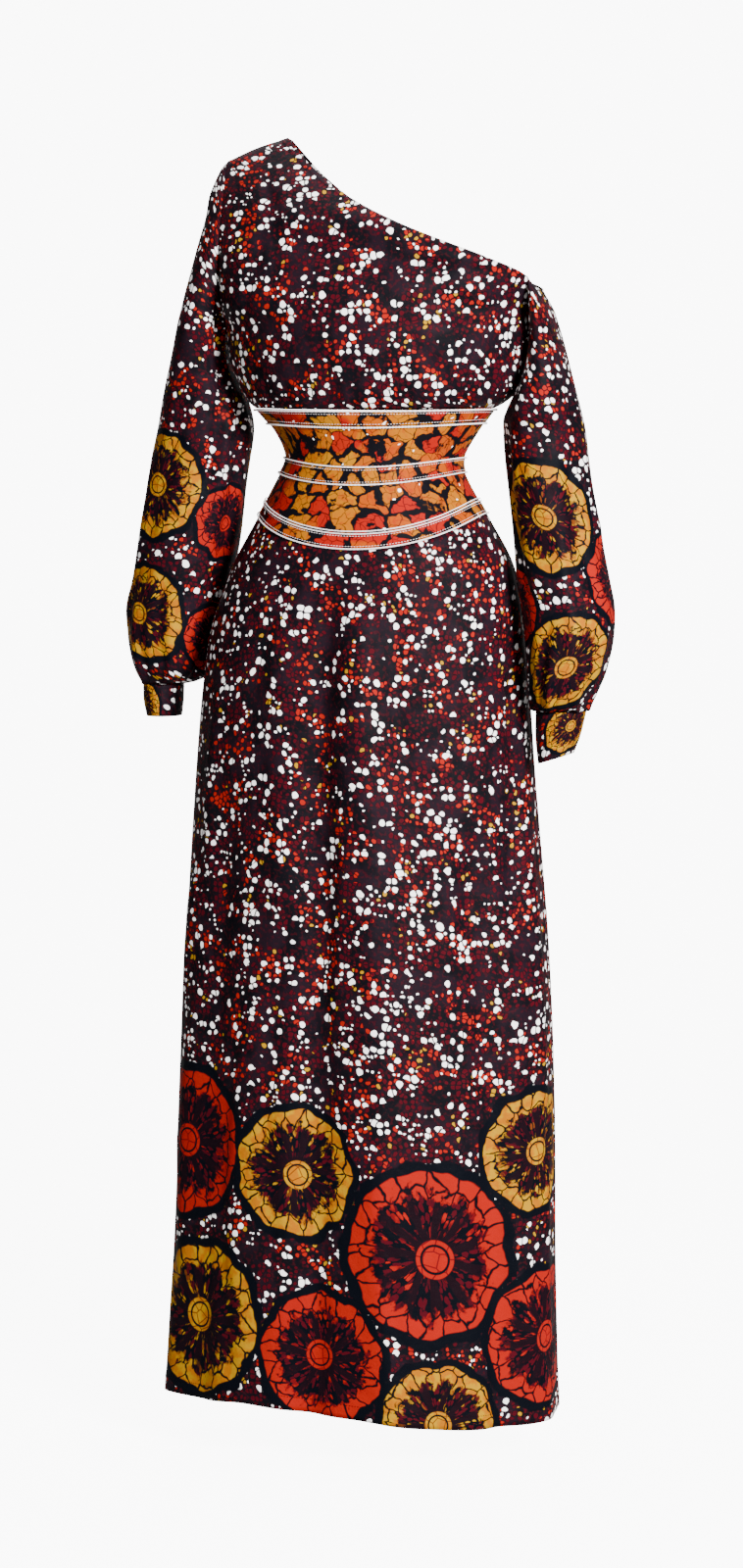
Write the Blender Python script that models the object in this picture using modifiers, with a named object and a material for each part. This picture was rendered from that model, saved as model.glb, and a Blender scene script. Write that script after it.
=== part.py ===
"""A long one-shoulder wax print dress, worn and hollow, modelled in metres with +Z up.

Heights are measured from the hem, +X is the wearer's left and -Y is the front. At the
end everything hangs from one empty, which puts the origin under the cloth at the top of
the wearer's right shoulder, where the wearer holds the dress up.
"""

from collections import namedtuple
import math

import bmesh
import bpy
from mathutils import Vector

# Driving dimensions
WALL = 0.0015
BAND_THICKNESS = 0.0010
PIPING_RADIUS = 0.0015
TRIM_GAP = 0.0003
SEAM_GAP = 0.0005
SLEEVE_HALF_GAP = 0.00035
SIDE_SEAM_SHARE = 0.0009
FRONT_COLUMNS = 24
BACK_COLUMNS = 16
SLEEVE_COLUMNS = 24
SKIRT_FRONT_ROWS = 15
SKIRT_BACK_ROWS = 13
ZONE_STEPS = 3
MERGE_DISTANCE = 0.00002
HANG_POINT = Vector((-0.126, 0.0, 1.3675))

# Gathers: how many waves, how far they stand out, and how far they run from the seam
BODICE_GATHERS = 6
BODICE_GATHER_OUT = 0.0030
BODICE_GATHER_RISE = 0.012
BODICE_GATHER_RUN = 0.050
SLEEVE_GATHERS = 6
SLEEVE_GATHER_OUT = 0.0030
SLEEVE_GATHER_RUN = 0.085

# Sections of the body under midriff and skirt, from the hem up
Section = namedtuple("Section", "height half_width front_depth back_depth centre_x")
TRUNK = (
    Section(0.000, 0.2217, 0.1350, 0.1370, -0.0110),
    Section(0.155, 0.2149, 0.1330, 0.1360, -0.0084),
    Section(0.331, 0.2108, 0.1310, 0.1350, -0.0061),
    Section(0.506, 0.2028, 0.1290, 0.1350, -0.0055),
    Section(0.696, 0.1888, 0.1240, 0.1350, -0.0076),
    Section(0.788, 0.1817, 0.1200, 0.1330, -0.0066),
    Section(0.853, 0.1742, 0.1160, 0.1290, -0.0040),
    Section(0.896, 0.1634, 0.1120, 0.1220, 0.0000),
    Section(0.928, 0.1526, 0.1080, 0.1140, 0.0020),
    Section(0.971, 0.1288, 0.1000, 0.1000, 0.0021),
    Section(1.000, 0.1130, 0.0935, 0.0900, 0.0010),
    Section(1.022, 0.1018, 0.0895, 0.0845, 0.0014),
    Section(1.039, 0.0985, 0.0880, 0.0825, 0.0040),
    Section(1.067, 0.1125, 0.0915, 0.0865, 0.0058),
    Section(1.092, 0.1322, 0.0980, 0.0920, 0.0040),
)

# The six trimmed lines round the midriff, from its lower edge up
Line = namedtuple("Line", "side_height front_dip back_dip")
LINES = (
    Line(0.9775, 0.0370, 0.0080),
    Line(0.9920, 0.0340, 0.0070),
    Line(1.0220, 0.0130, 0.0040),
    Line(1.0390, 0.0110, 0.0040),
    Line(1.0770, 0.0060, 0.0020),
    Line(1.0915, 0.0030, 0.0020),
)
# Each ribbon band covers the stretch from one line to the next
BANDS = {"low": (0, 1), "middle": (2, 3), "high": (4, 5)}

# The skirt's folds. around runs from the wearer's right side seam, 0, to the left one, 1
Fold = namedtuple("Fold", "front top_around foot_around top_height foot_height out width")
FOLDS = (
    Fold(True, 0.13, 0.12, 0.62, 0.00, 0.0060, 0.040),
    Fold(True, 0.25, 0.22, 0.72, 0.00, -0.0070, 0.045),
    Fold(True, 0.36, 0.40, 0.88, 0.50, 0.0045, 0.028),
    Fold(True, 0.46, 0.45, 0.93, 0.00, -0.0080, 0.038),
    Fold(True, 0.52, 0.59, 0.90, 0.00, 0.0100, 0.050),
    Fold(True, 0.75, 0.80, 0.66, 0.00, -0.0090, 0.042),
    Fold(True, 0.92, 0.83, 0.88, 0.50, -0.0060, 0.035),
    Fold(True, 0.90, 0.91, 0.72, 0.00, 0.0060, 0.036),
    Fold(False, 0.18, 0.15, 0.80, 0.00, 0.0070, 0.045),
    Fold(False, 0.30, 0.28, 0.86, 0.00, -0.0080, 0.045),
    Fold(False, 0.44, 0.41, 0.82, 0.00, 0.0090, 0.050),
    Fold(False, 0.56, 0.57, 0.84, 0.00, -0.0080, 0.045),
    Fold(False, 0.69, 0.72, 0.78, 0.00, 0.0080, 0.045),
    Fold(False, 0.84, 0.86, 0.74, 0.00, -0.0070, 0.045),
)
FOLD_FADE = 0.090
NORMAL_STEP = 0.002

# Rows of the bodice, from the midriff up to the shoulder seam. depth is how far an end
# stands off the side seam plane, towards the front on the front panel and towards the
# back on the back panel, and bulge is how far the middle stands off both ends.
BodiceRow = namedtuple(
    "BodiceRow",
    "left_x left_depth left_height right_x right_depth right_height bulge roundness dip",
)
BODICE_FRONT = (
    BodiceRow(-0.1282, 0.000, 1.0925, 0.1362, 0.000, 1.0925, 0.0980, 1.0, 0.003),
    BodiceRow(-0.1350, 0.000, 1.0985, 0.1435, 0.000, 1.0985, 0.1050, 1.0, 0.003),
    BodiceRow(-0.1415, 0.000, 1.1090, 0.1550, 0.000, 1.1090, 0.1120, 1.0, 0.002),
    BodiceRow(-0.1475, 0.000, 1.1210, 0.1655, 0.000, 1.1210, 0.1175, 1.0, 0.000),
    BodiceRow(-0.1565, 0.000, 1.1450, 0.1720, 0.000, 1.1450, 0.1235, 1.0, 0.000),
    BodiceRow(-0.1590, 0.000, 1.1650, 0.1750, 0.000, 1.1650, 0.1250, 1.0, 0.000),
    BodiceRow(-0.1600, 0.000, 1.1800, 0.1770, 0.000, 1.1780, 0.1240, 1.0, 0.000),
    BodiceRow(-0.1590, 0.030, 1.2000, 0.1775, 0.000, 1.1950, 0.1060, 1.0, 0.000),
    BodiceRow(-0.1585, 0.048, 1.2250, 0.1785, 0.030, 1.2200, 0.0780, 0.9, 0.000),
    BodiceRow(-0.1580, 0.054, 1.2590, 0.1800, 0.048, 1.2430, 0.0570, 0.8, 0.000),
    BodiceRow(-0.1580, 0.052, 1.2800, 0.1427, 0.082, 1.2595, 0.0350, 0.7, 0.000),
    BodiceRow(-0.1580, 0.045, 1.3000, 0.0552, 0.093, 1.2925, 0.0240, 0.6, 0.000),
    BodiceRow(-0.1580, 0.034, 1.3225, -0.0081, 0.073, 1.3240, 0.0160, 0.5, 0.000),
    BodiceRow(-0.1590, 0.020, 1.3400, -0.0570, 0.042, 1.3555, 0.0100, 0.4, 0.000),
    BodiceRow(-0.1598, 0.008, 1.3535, -0.0890, 0.010, 1.3810, 0.0020, 0.3, 0.000),
    BodiceRow(-0.1600, 0.0004, 1.3545, -0.0916, 0.0004, 1.3825, 0.0, 0.3, 0.000),
)
BODICE_BACK = (
    BodiceRow(-0.1282, 0.000, 1.0925, 0.1362, 0.000, 1.0925, 0.0920, 1.0, 0.002),
    BodiceRow(-0.1350, 0.000, 1.0985, 0.1435, 0.000, 1.0985, 0.0960, 1.0, 0.002),
    BodiceRow(-0.1415, 0.000, 1.1090, 0.1550, 0.000, 1.1090, 0.0990, 1.0, 0.001),
    BodiceRow(-0.1475, 0.000, 1.1210, 0.1655, 0.000, 1.1210, 0.1010, 1.0, 0.000),
    BodiceRow(-0.1565, 0.000, 1.1450, 0.1720, 0.000, 1.1450, 0.1020, 1.0, 0.000),
    BodiceRow(-0.1590, 0.000, 1.1650, 0.1750, 0.000, 1.1650, 0.1010, 1.0, 0.000),
    BodiceRow(-0.1600, 0.000, 1.1800, 0.1770, 0.000, 1.1780, 0.1000, 1.0, 0.000),
    BodiceRow(-0.1590, 0.030, 1.2000, 0.1775, 0.000, 1.1950, 0.0830, 1.0, 0.000),
    BodiceRow(-0.1585, 0.048, 1.2250, 0.1785, 0.030, 1.2200, 0.0550, 0.9, 0.000),
    BodiceRow(-0.1580, 0.054, 1.2590, 0.1800, 0.048, 1.2430, 0.0380, 0.8, 0.000),
    BodiceRow(-0.1580, 0.052, 1.2800, 0.1300, 0.070, 1.2520, 0.0240, 0.7, 0.000),
    BodiceRow(-0.1580, 0.045, 1.3000, 0.0480, 0.078, 1.2800, 0.0160, 0.6, 0.000),
    BodiceRow(-0.1580, 0.034, 1.3225, -0.0120, 0.061, 1.3120, 0.0120, 0.5, 0.000),
    BodiceRow(-0.1590, 0.020, 1.3400, -0.0580, 0.037, 1.3460, 0.0080, 0.4, 0.000),
    BodiceRow(-0.1598, 0.008, 1.3535, -0.0890, 0.010, 1.3800, 0.0020, 0.3, 0.000),
    BodiceRow(-0.1600, 0.0004, 1.3545, -0.0916, 0.0004, 1.3825, 0.0, 0.3, 0.000),
)

# Sections of the sleeves from the top down. inner and outer are distances from the
# middle plane of the dress, open_half is half the armhole's depth where the row is
# open towards the bodice, and drop is how far the outer side hangs below the inner.
SleeveRow = namedtuple("SleeveRow", "height inner outer half_depth centre_y open_half drop")
RIGHT_SLEEVE = (
    SleeveRow(1.3535, 0.1598, 0.1665, 0.008, 0.000, 0.008, 0.000),
    SleeveRow(1.3400, 0.1590, 0.1725, 0.020, 0.000, 0.020, 0.000),
    SleeveRow(1.3225, 0.1580, 0.1795, 0.034, 0.000, 0.034, 0.000),
    SleeveRow(1.3000, 0.1580, 0.1860, 0.045, 0.000, 0.045, 0.000),
    SleeveRow(1.2800, 0.1580, 0.1915, 0.052, 0.000, 0.052, 0.000),
    SleeveRow(1.2590, 0.1580, 0.1975, 0.056, 0.000, 0.054, 0.000),
    SleeveRow(1.2250, 0.1585, 0.2075, 0.058, 0.000, 0.048, 0.000),
    SleeveRow(1.2000, 0.1590, 0.2155, 0.058, 0.000, 0.030, 0.000),
    SleeveRow(1.1800, 0.1600, 0.2210, 0.058, 0.000, 0.000, 0.000),
    SleeveRow(1.1500, 0.1630, 0.2290, 0.058, 0.010, 0.000, 0.000),
    SleeveRow(1.1210, 0.1540, 0.2345, 0.058, 0.018, 0.000, 0.000),
    SleeveRow(1.0950, 0.1440, 0.2405, 0.058, 0.025, 0.000, 0.000),
    SleeveRow(1.0670, 0.1400, 0.2465, 0.058, 0.028, 0.000, 0.000),
    SleeveRow(1.0350, 0.1455, 0.2535, 0.058, 0.030, 0.000, 0.000),
    SleeveRow(1.0030, 0.1510, 0.2592, 0.058, 0.032, 0.000, 0.000),
    SleeveRow(0.9550, 0.1575, 0.2680, 0.059, 0.036, 0.000, 0.000),
    SleeveRow(0.9060, 0.1670, 0.2768, 0.061, 0.041, 0.000, 0.000),
    SleeveRow(0.8740, 0.1725, 0.2852, 0.062, 0.044, 0.000, 0.000),
    SleeveRow(0.8420, 0.1785, 0.2835, 0.061, 0.045, 0.000, 0.000),
    SleeveRow(0.8180, 0.1840, 0.2790, 0.057, 0.045, 0.000, 0.000),
    SleeveRow(0.8010, 0.1920, 0.2730, 0.051, 0.044, 0.000, 0.000),
    SleeveRow(0.7905, 0.2040, 0.2675, 0.041, 0.043, 0.000, 0.000),
    SleeveRow(0.7860, 0.2205, 0.2650, 0.0315, 0.042, 0.000, 0.000),
)
LEFT_SLEEVE = (
    SleeveRow(1.2430, 0.1800, 0.1890, 0.048, 0.000, 0.048, 0.014),
    SleeveRow(1.2200, 0.1785, 0.1965, 0.054, 0.000, 0.030, 0.007),
    SleeveRow(1.1950, 0.1775, 0.2040, 0.056, 0.000, 0.000, 0.002),
    SleeveRow(1.1630, 0.1790, 0.2130, 0.056, 0.005, 0.000, 0.000),
    SleeveRow(1.1370, 0.1765, 0.2215, 0.057, 0.008, 0.000, 0.000),
    SleeveRow(1.1100, 0.1655, 0.2305, 0.058, 0.008, 0.000, 0.000),
    SleeveRow(1.0850, 0.1530, 0.2345, 0.058, 0.006, 0.000, 0.000),
    SleeveRow(1.0670, 0.1470, 0.2375, 0.058, 0.004, 0.000, 0.000),
    SleeveRow(1.0350, 0.1503, 0.2425, 0.058, 0.000, 0.000, 0.000),
    SleeveRow(1.0030, 0.1548, 0.2480, 0.058, -0.005, 0.000, 0.000),
    SleeveRow(0.9550, 0.1615, 0.2585, 0.059, -0.012, 0.000, 0.000),
    SleeveRow(0.9060, 0.1700, 0.2692, 0.061, -0.020, 0.000, 0.000),
    SleeveRow(0.8740, 0.1765, 0.2765, 0.062, -0.023, 0.000, 0.000),
    SleeveRow(0.8420, 0.1790, 0.2765, 0.061, -0.026, 0.000, 0.000),
    SleeveRow(0.8095, 0.1805, 0.2690, 0.057, -0.028, 0.000, 0.000),
    SleeveRow(0.7880, 0.1820, 0.2605, 0.050, -0.029, 0.000, 0.000),
    SleeveRow(0.7725, 0.1850, 0.2525, 0.041, -0.030, 0.000, 0.000),
    SleeveRow(0.7655, 0.1880, 0.2485, 0.030, -0.030, 0.000, 0.000),
)
RIGHT_CUFF = (
    SleeveRow(0.7855, 0.2212, 0.2642, 0.031, 0.042, 0.000, 0.000),
    SleeveRow(0.7680, 0.2215, 0.2640, 0.031, 0.042, 0.000, 0.000),
    SleeveRow(0.7500, 0.2230, 0.2610, 0.029, 0.042, 0.000, 0.000),
)
LEFT_CUFF = (
    SleeveRow(0.7650, 0.1885, 0.2480, 0.0295, -0.030, 0.000, 0.000),
    SleeveRow(0.7360, 0.1880, 0.2420, 0.0280, -0.030, 0.000, 0.000),
    SleeveRow(0.7090, 0.1900, 0.2345, 0.0260, -0.030, 0.000, 0.000),
)

# Colours of the cloths and of the white piping, linear
DARK_PRINT = (0.020, 0.012, 0.020)
AMBER_PRINT = (0.520, 0.130, 0.010)
WHITE_TRIM = (0.720, 0.690, 0.670)
PRINT_ROUGHNESS = 0.55
TRIM_ROUGHNESS = 0.45


def clear_scene():
    """Remove whatever the new file holds."""
    for old in list(bpy.data.objects):
        bpy.data.objects.remove(old, do_unlink=True)


def cloth_material(name, colour, roughness):
    """A Principled material of one piece."""
    material = bpy.data.materials.new(name)
    material.use_nodes = True
    shader = material.node_tree.nodes["Principled BSDF"]
    shader.inputs["Base Color"].default_value = (*colour, 1.0)
    shader.inputs["Roughness"].default_value = roughness
    shader.inputs["Metallic"].default_value = 0.0
    return material


def eased(share):
    """A step from 0 to 1 with flat ends."""
    share = min(1.0, max(0.0, share))
    return share * share * (3.0 - 2.0 * share)


def tangent(table, index, column):
    """The slope of one column against the first, at one row."""
    before = table[max(index - 1, 0)]
    after = table[min(index + 1, len(table) - 1)]
    return (after[column] - before[column]) / (after[0] - before[0])


def section_at(table, height):
    """One row of a section table, read on a smooth curve at any height."""
    index = 0
    while index < len(table) - 2 and table[index + 1][0] <= height:
        index += 1
    low = table[index]
    high = table[index + 1]
    span = high[0] - low[0]
    t = min(1.0, max(0.0, (height - low[0]) / span))
    values = [height]
    for column in range(1, len(low)):
        start_slope = tangent(table, index, column) * span
        end_slope = tangent(table, index + 1, column) * span
        value = (2 * t**3 - 3 * t**2 + 1) * low[column]
        value += (t**3 - 2 * t**2 + t) * start_slope
        value += (3 * t**2 - 2 * t**3) * high[column]
        value += (t**3 - t**2) * end_slope
        values.append(value)
    return Section(*values)


def fold_offset(height, around, front):
    """How far the skirt's folds push the cloth out at one place."""
    total = 0.0
    for fold in FOLDS:
        if fold.front != front or height > fold.top_height:
            continue
        run = (fold.top_height - height) / (fold.top_height - fold.foot_height)
        if run > 1.0:
            continue
        centre = fold.top_around + (fold.foot_around - fold.top_around) * run
        fade = eased((fold.top_height - height) / FOLD_FADE)
        if fold.foot_height > 0.0:
            fade *= eased((height - fold.foot_height) / FOLD_FADE)
        total += fold.out * fade * math.exp(-(((around - centre) / fold.width) ** 2))
    return total


def trunk_point(height, around, front):
    """A point on the outside of midriff or skirt."""
    section = section_at(TRUNK, height)
    angle = math.pi * around
    depth = section.front_depth if front else section.back_depth
    side = -1.0 if front else 1.0
    x = -section.half_width * math.cos(angle)
    y = side * depth * math.sin(angle)
    stretch = 1.0 + fold_offset(height, around, front) / math.hypot(x, y)
    return Vector((section.centre_x + x * stretch, y * stretch, height))


def line_height(line, around, front):
    """The height of a trimmed line, which dips towards the middle."""
    dip = line.front_dip if front else line.back_dip
    return line.side_height - dip * math.sin(math.pi * around) ** 2


def moved_out(height, around, front, distance):
    """A midriff point moved out along the surface's own normal."""
    here = trunk_point(height, around, front)
    ahead = trunk_point(height, around + NORMAL_STEP, front)
    behind = trunk_point(height, around - NORMAL_STEP, front)
    above = trunk_point(height + NORMAL_STEP, around, front)
    below = trunk_point(height - NORMAL_STEP, around, front)
    normal = (ahead - behind).cross(above - below).normalized()
    if normal.dot(Vector((here.x, here.y, 0.0))) < 0.0:
        normal.negate()
    return here + normal * distance


def columns(count):
    """Shares round a panel, kept off both side seams."""
    usable = 1.0 - 2.0 * SIDE_SEAM_SHARE
    return [SIDE_SEAM_SHARE + usable * step / count for step in range(count + 1)]


def link(obj, parent, collection):
    """Put an object into the dress."""
    collection.objects.link(obj)
    obj.parent = parent


def wall(name, grid, thickness, colour, parent, collection, merge=False):
    """Cloth: a loft through rows of points, given its thickness on the inside."""
    mesh = bpy.data.meshes.new(name)
    bm = bmesh.new()
    made = [[bm.verts.new(point) for point in row] for row in grid]
    for lower, upper in zip(made, made[1:]):
        for step in range(len(lower) - 1):
            bm.faces.new((lower[step], lower[step + 1], upper[step + 1], upper[step]))
    if merge:
        bmesh.ops.remove_doubles(bm, verts=bm.verts, dist=MERGE_DISTANCE)
    middle = sum((vert.co for vert in bm.verts), Vector()) / len(bm.verts)
    bm.normal_update()
    outward = sum(face.normal.dot(face.calc_center_median() - middle) for face in bm.faces)
    if outward < 0.0:
        bmesh.ops.reverse_faces(bm, faces=bm.faces)
    bm.to_mesh(mesh)
    bm.free()
    mesh.shade_smooth()
    mesh.materials.append(cloth_material(name, colour, PRINT_ROUGHNESS))
    obj = bpy.data.objects.new(name, mesh)
    solid = obj.modifiers.new("thickness", "SOLIDIFY")
    solid.thickness = thickness
    solid.offset = -1.0
    link(obj, parent, collection)
    return obj


def skirt_grid(front, row_count, column_count):
    """Rows of the skirt from the hem up to the midriff's lower edge."""
    grid = []
    for row in range(row_count + 1):
        points = []
        for around in columns(column_count):
            top = line_height(LINES[0], around, front) - SEAM_GAP
            points.append(trunk_point(top * row / row_count, around, front))
        grid.append(points)
    return grid


def midriff_grid(front, column_count):
    """Rows of the midriff, one on each trimmed line and more between the bands."""
    grid = []
    for index in range(len(LINES) - 1):
        in_band = any(index == low for low, _ in BANDS.values())
        steps = 1 if in_band else ZONE_STEPS
        for step in range(steps):
            points = []
            for around in columns(column_count):
                low = line_height(LINES[index], around, front)
                high = line_height(LINES[index + 1], around, front)
                height = low + (high - low) * step / steps
                points.append(trunk_point(height, around, front))
            grid.append(points)
    top = LINES[-1]
    grid.append([trunk_point(line_height(top, a, front), a, front) for a in columns(column_count)])
    return grid


def band_grid(front, band, column_count):
    """The two edges of a ribbon band, moved out from the midriff."""
    out = TRIM_GAP + BAND_THICKNESS
    grid = []
    for index in band:
        points = []
        for around in columns(column_count):
            height = line_height(LINES[index], around, front)
            points.append(moved_out(height, around, front, out))
        grid.append(points)
    return grid


def piping(name, front, line, column_count, parent, collection):
    """A round piping on the edge of a ribbon band."""
    out = 2.0 * TRIM_GAP + BAND_THICKNESS + PIPING_RADIUS
    path = []
    for around in columns(column_count):
        path.append(moved_out(line_height(line, around, front), around, front, out))
    curve = bpy.data.curves.new(name, "CURVE")
    curve.dimensions = "3D"
    curve.bevel_depth = PIPING_RADIUS
    curve.bevel_resolution = 0
    curve.use_fill_caps = True
    spline = curve.splines.new("POLY")
    spline.points.add(len(path) - 1)
    for point, place in zip(spline.points, path):
        point.co = (*place, 1.0)
    curve.materials.append(cloth_material(name, WHITE_TRIM, TRIM_ROUGHNESS))
    obj = bpy.data.objects.new(name, curve)
    link(obj, parent, collection)
    return obj


def bodice_grid(rows, front, column_count):
    """Rows of the bodice, gathered along the midriff."""
    side = -1.0 if front else 1.0
    foot = rows[0].left_height
    grid = []
    for row in rows:
        points = []
        for along in columns(column_count):
            angle = math.pi * along
            share = along + ((1.0 - math.cos(angle)) / 2.0 - along) * row.roundness
            x = row.left_x + (row.right_x - row.left_x) * share
            depth = row.left_depth + (row.right_depth - row.left_depth) * share
            depth += row.bulge * math.sin(angle)
            z = row.left_height + (row.right_height - row.left_height) * share
            z -= row.dip * math.sin(angle) ** 2
            rise = row.left_height - foot
            fade = eased(rise / BODICE_GATHER_RISE) * (1.0 - eased(rise / BODICE_GATHER_RUN))
            wave = math.cos(2.0 * math.pi * BODICE_GATHERS * along)
            depth += BODICE_GATHER_OUT * fade * wave * math.sin(angle)
            points.append(Vector((x, side * depth, z)))
        grid.append(points)
    return grid


def sleeve_grid(rows, side, start_share, end_share, column_count, gap, gathers, shift):
    """Rows over part of a sleeve or cuff, which runs from the inner side over the front.

    An open row is part of a loop through the armhole's two edges, and a closed row
    starts and ends at the same point of the inner side.
    """
    foot = rows[-1].height
    grid = []
    for row in rows:
        start = math.asin(min(1.0, row.open_half / row.half_depth))
        inner = row.inner + gap
        half_width = (row.outer - inner) / (1.0 + math.cos(start))
        centre_x = row.outer - half_width
        fade = gathers * (1.0 - eased((row.height - foot) / SLEEVE_GATHER_RUN))
        points = []
        for step in range(column_count + 1):
            share = start_share + (end_share - start_share) * step / column_count
            turn = start + (2.0 * math.pi - 2.0 * start) * share
            wave = SLEEVE_GATHER_OUT * fade * math.sin(SLEEVE_GATHERS * turn)
            across = (half_width + wave) * math.cos(turn)
            x = centre_x - across
            y = row.centre_y + shift - (row.half_depth + wave) * math.sin(turn)
            z = row.height - row.drop * (x - inner) / (row.outer - inner)
            points.append(Vector((side * x, y, z)))
        grid.append(points)
    return grid


def build():
    """Make the dress."""
    clear_scene()
    collection = bpy.data.collections.new("ankara_wax_print_dress")
    bpy.context.scene.collection.children.link(collection)
    hanger = bpy.data.objects.new("shoulder_point", None)
    hanger.location = -HANG_POINT
    collection.objects.link(hanger)

    for front, place, count in ((True, "front", FRONT_COLUMNS), (False, "back", BACK_COLUMNS)):
        skirt_rows = SKIRT_FRONT_ROWS if front else SKIRT_BACK_ROWS
        skirt = skirt_grid(front, skirt_rows, count)
        wall(f"skirt_{place}", skirt, WALL, DARK_PRINT, hanger, collection)
        midriff = midriff_grid(front, count)
        wall(f"midriff_{place}", midriff, WALL, AMBER_PRINT, hanger, collection)
        for name, band in BANDS.items():
            edges = band_grid(front, band, count)
            label = f"band_{name}_{place}"
            wall(label, edges, BAND_THICKNESS, AMBER_PRINT, hanger, collection)
        for number, line in enumerate(LINES, start=1):
            piping(f"piping_{number}_{place}", front, line, count, hanger, collection)
        rows = BODICE_FRONT if front else BODICE_BACK
        bodice = bodice_grid(rows, front, count)
        wall(f"bodice_{place}", bodice, WALL, DARK_PRINT, hanger, collection)

    pieces = (("right", -1.0, RIGHT_SLEEVE, RIGHT_CUFF), ("left", 1.0, LEFT_SLEEVE, LEFT_CUFF))
    halves = (("front", 0.0, 0.5, -SLEEVE_HALF_GAP), ("back", 0.5, 1.0, SLEEVE_HALF_GAP))
    for name, side, sleeve, cuff in pieces:
        for half, start, end, shift in halves:
            count = SLEEVE_COLUMNS // 2
            rows = sleeve_grid(sleeve, side, start, end, count, SEAM_GAP, 1.0, shift)
            wall(f"sleeve_{name}_{half}", rows, WALL, DARK_PRINT, hanger, collection)
        rings = sleeve_grid(cuff, side, 0.0, 1.0, SLEEVE_COLUMNS, 0.0, 0.0, 0.0)
        wall(f"cuff_{name}", rings, WALL, DARK_PRINT, hanger, collection, merge=True)


build()
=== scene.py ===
"""The looks of a long one-shoulder wax print dress, worn and hollow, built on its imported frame.

Shapes are worked out in metres above the hem, with +X towards the wearer's left and -Y
towards the front, and are then moved so that the origin lies under the covered shoulder.
"""

from collections import namedtuple
import math

import bmesh
import bpy
from bpy.props import FloatProperty, FloatVectorProperty, IntProperty, PointerProperty
from mathutils import Euler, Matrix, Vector
import numpy as np


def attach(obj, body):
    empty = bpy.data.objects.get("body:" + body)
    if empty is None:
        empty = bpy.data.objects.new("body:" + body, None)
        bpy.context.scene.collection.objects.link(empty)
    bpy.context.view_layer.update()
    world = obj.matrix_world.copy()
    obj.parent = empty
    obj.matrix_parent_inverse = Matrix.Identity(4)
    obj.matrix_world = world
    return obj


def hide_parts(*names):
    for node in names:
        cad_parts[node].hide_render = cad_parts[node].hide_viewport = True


bl_info = {
    "name": "Wax print dress",
    "version": (1, 0, 0),
    "blender": (4, 5, 0),
    "location": "3D View > Sidebar > Dress",
    "description": "Builds the cloth, trims and studio of a one-shoulder wax print dress",
    "category": "Object",
}

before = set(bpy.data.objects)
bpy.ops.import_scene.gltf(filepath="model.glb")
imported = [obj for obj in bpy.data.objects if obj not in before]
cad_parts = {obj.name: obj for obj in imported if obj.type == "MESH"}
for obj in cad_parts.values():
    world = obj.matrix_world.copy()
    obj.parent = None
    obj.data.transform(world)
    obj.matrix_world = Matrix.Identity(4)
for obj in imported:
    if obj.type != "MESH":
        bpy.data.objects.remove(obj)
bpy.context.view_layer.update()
BODY = "root"
HANG_POINT = np.array((-0.126, 0.0, 1.3675))

# Sections of the body under midriff and skirt, from the hem up
Section = namedtuple("Section", "height half_width front_depth back_depth centre_x")
TRUNK = (
    Section(0.000, 0.2217, 0.1350, 0.1370, -0.0110),
    Section(0.155, 0.2149, 0.1330, 0.1360, -0.0084),
    Section(0.331, 0.2108, 0.1310, 0.1350, -0.0061),
    Section(0.506, 0.2028, 0.1290, 0.1350, -0.0055),
    Section(0.696, 0.1888, 0.1240, 0.1350, -0.0076),
    Section(0.788, 0.1817, 0.1200, 0.1330, -0.0066),
    Section(0.853, 0.1742, 0.1160, 0.1290, -0.0040),
    Section(0.896, 0.1634, 0.1120, 0.1220, 0.0000),
    Section(0.928, 0.1526, 0.1080, 0.1140, 0.0020),
    Section(0.971, 0.1288, 0.1000, 0.1000, 0.0021),
    Section(1.000, 0.1130, 0.0935, 0.0900, 0.0010),
    Section(1.022, 0.1018, 0.0895, 0.0845, 0.0014),
    Section(1.039, 0.0985, 0.0880, 0.0825, 0.0040),
    Section(1.067, 0.1125, 0.0915, 0.0865, 0.0058),
    Section(1.092, 0.1322, 0.0980, 0.0920, 0.0040),
)

# The six trimmed lines round the midriff, from its lower edge up
Line = namedtuple("Line", "side_height front_dip back_dip")
LINES = (
    Line(0.9775, 0.0370, 0.0080),
    Line(0.9920, 0.0340, 0.0070),
    Line(1.0220, 0.0130, 0.0040),
    Line(1.0390, 0.0110, 0.0040),
    Line(1.0770, 0.0060, 0.0020),
    Line(1.0915, 0.0030, 0.0020),
)

# The lines at the lower and upper edges of the waist panel and of each band
WAIST_PANEL = (0, -1)
BANDS = {"low": (0, 1), "middle": (2, 3), "high": (4, 5)}

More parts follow.
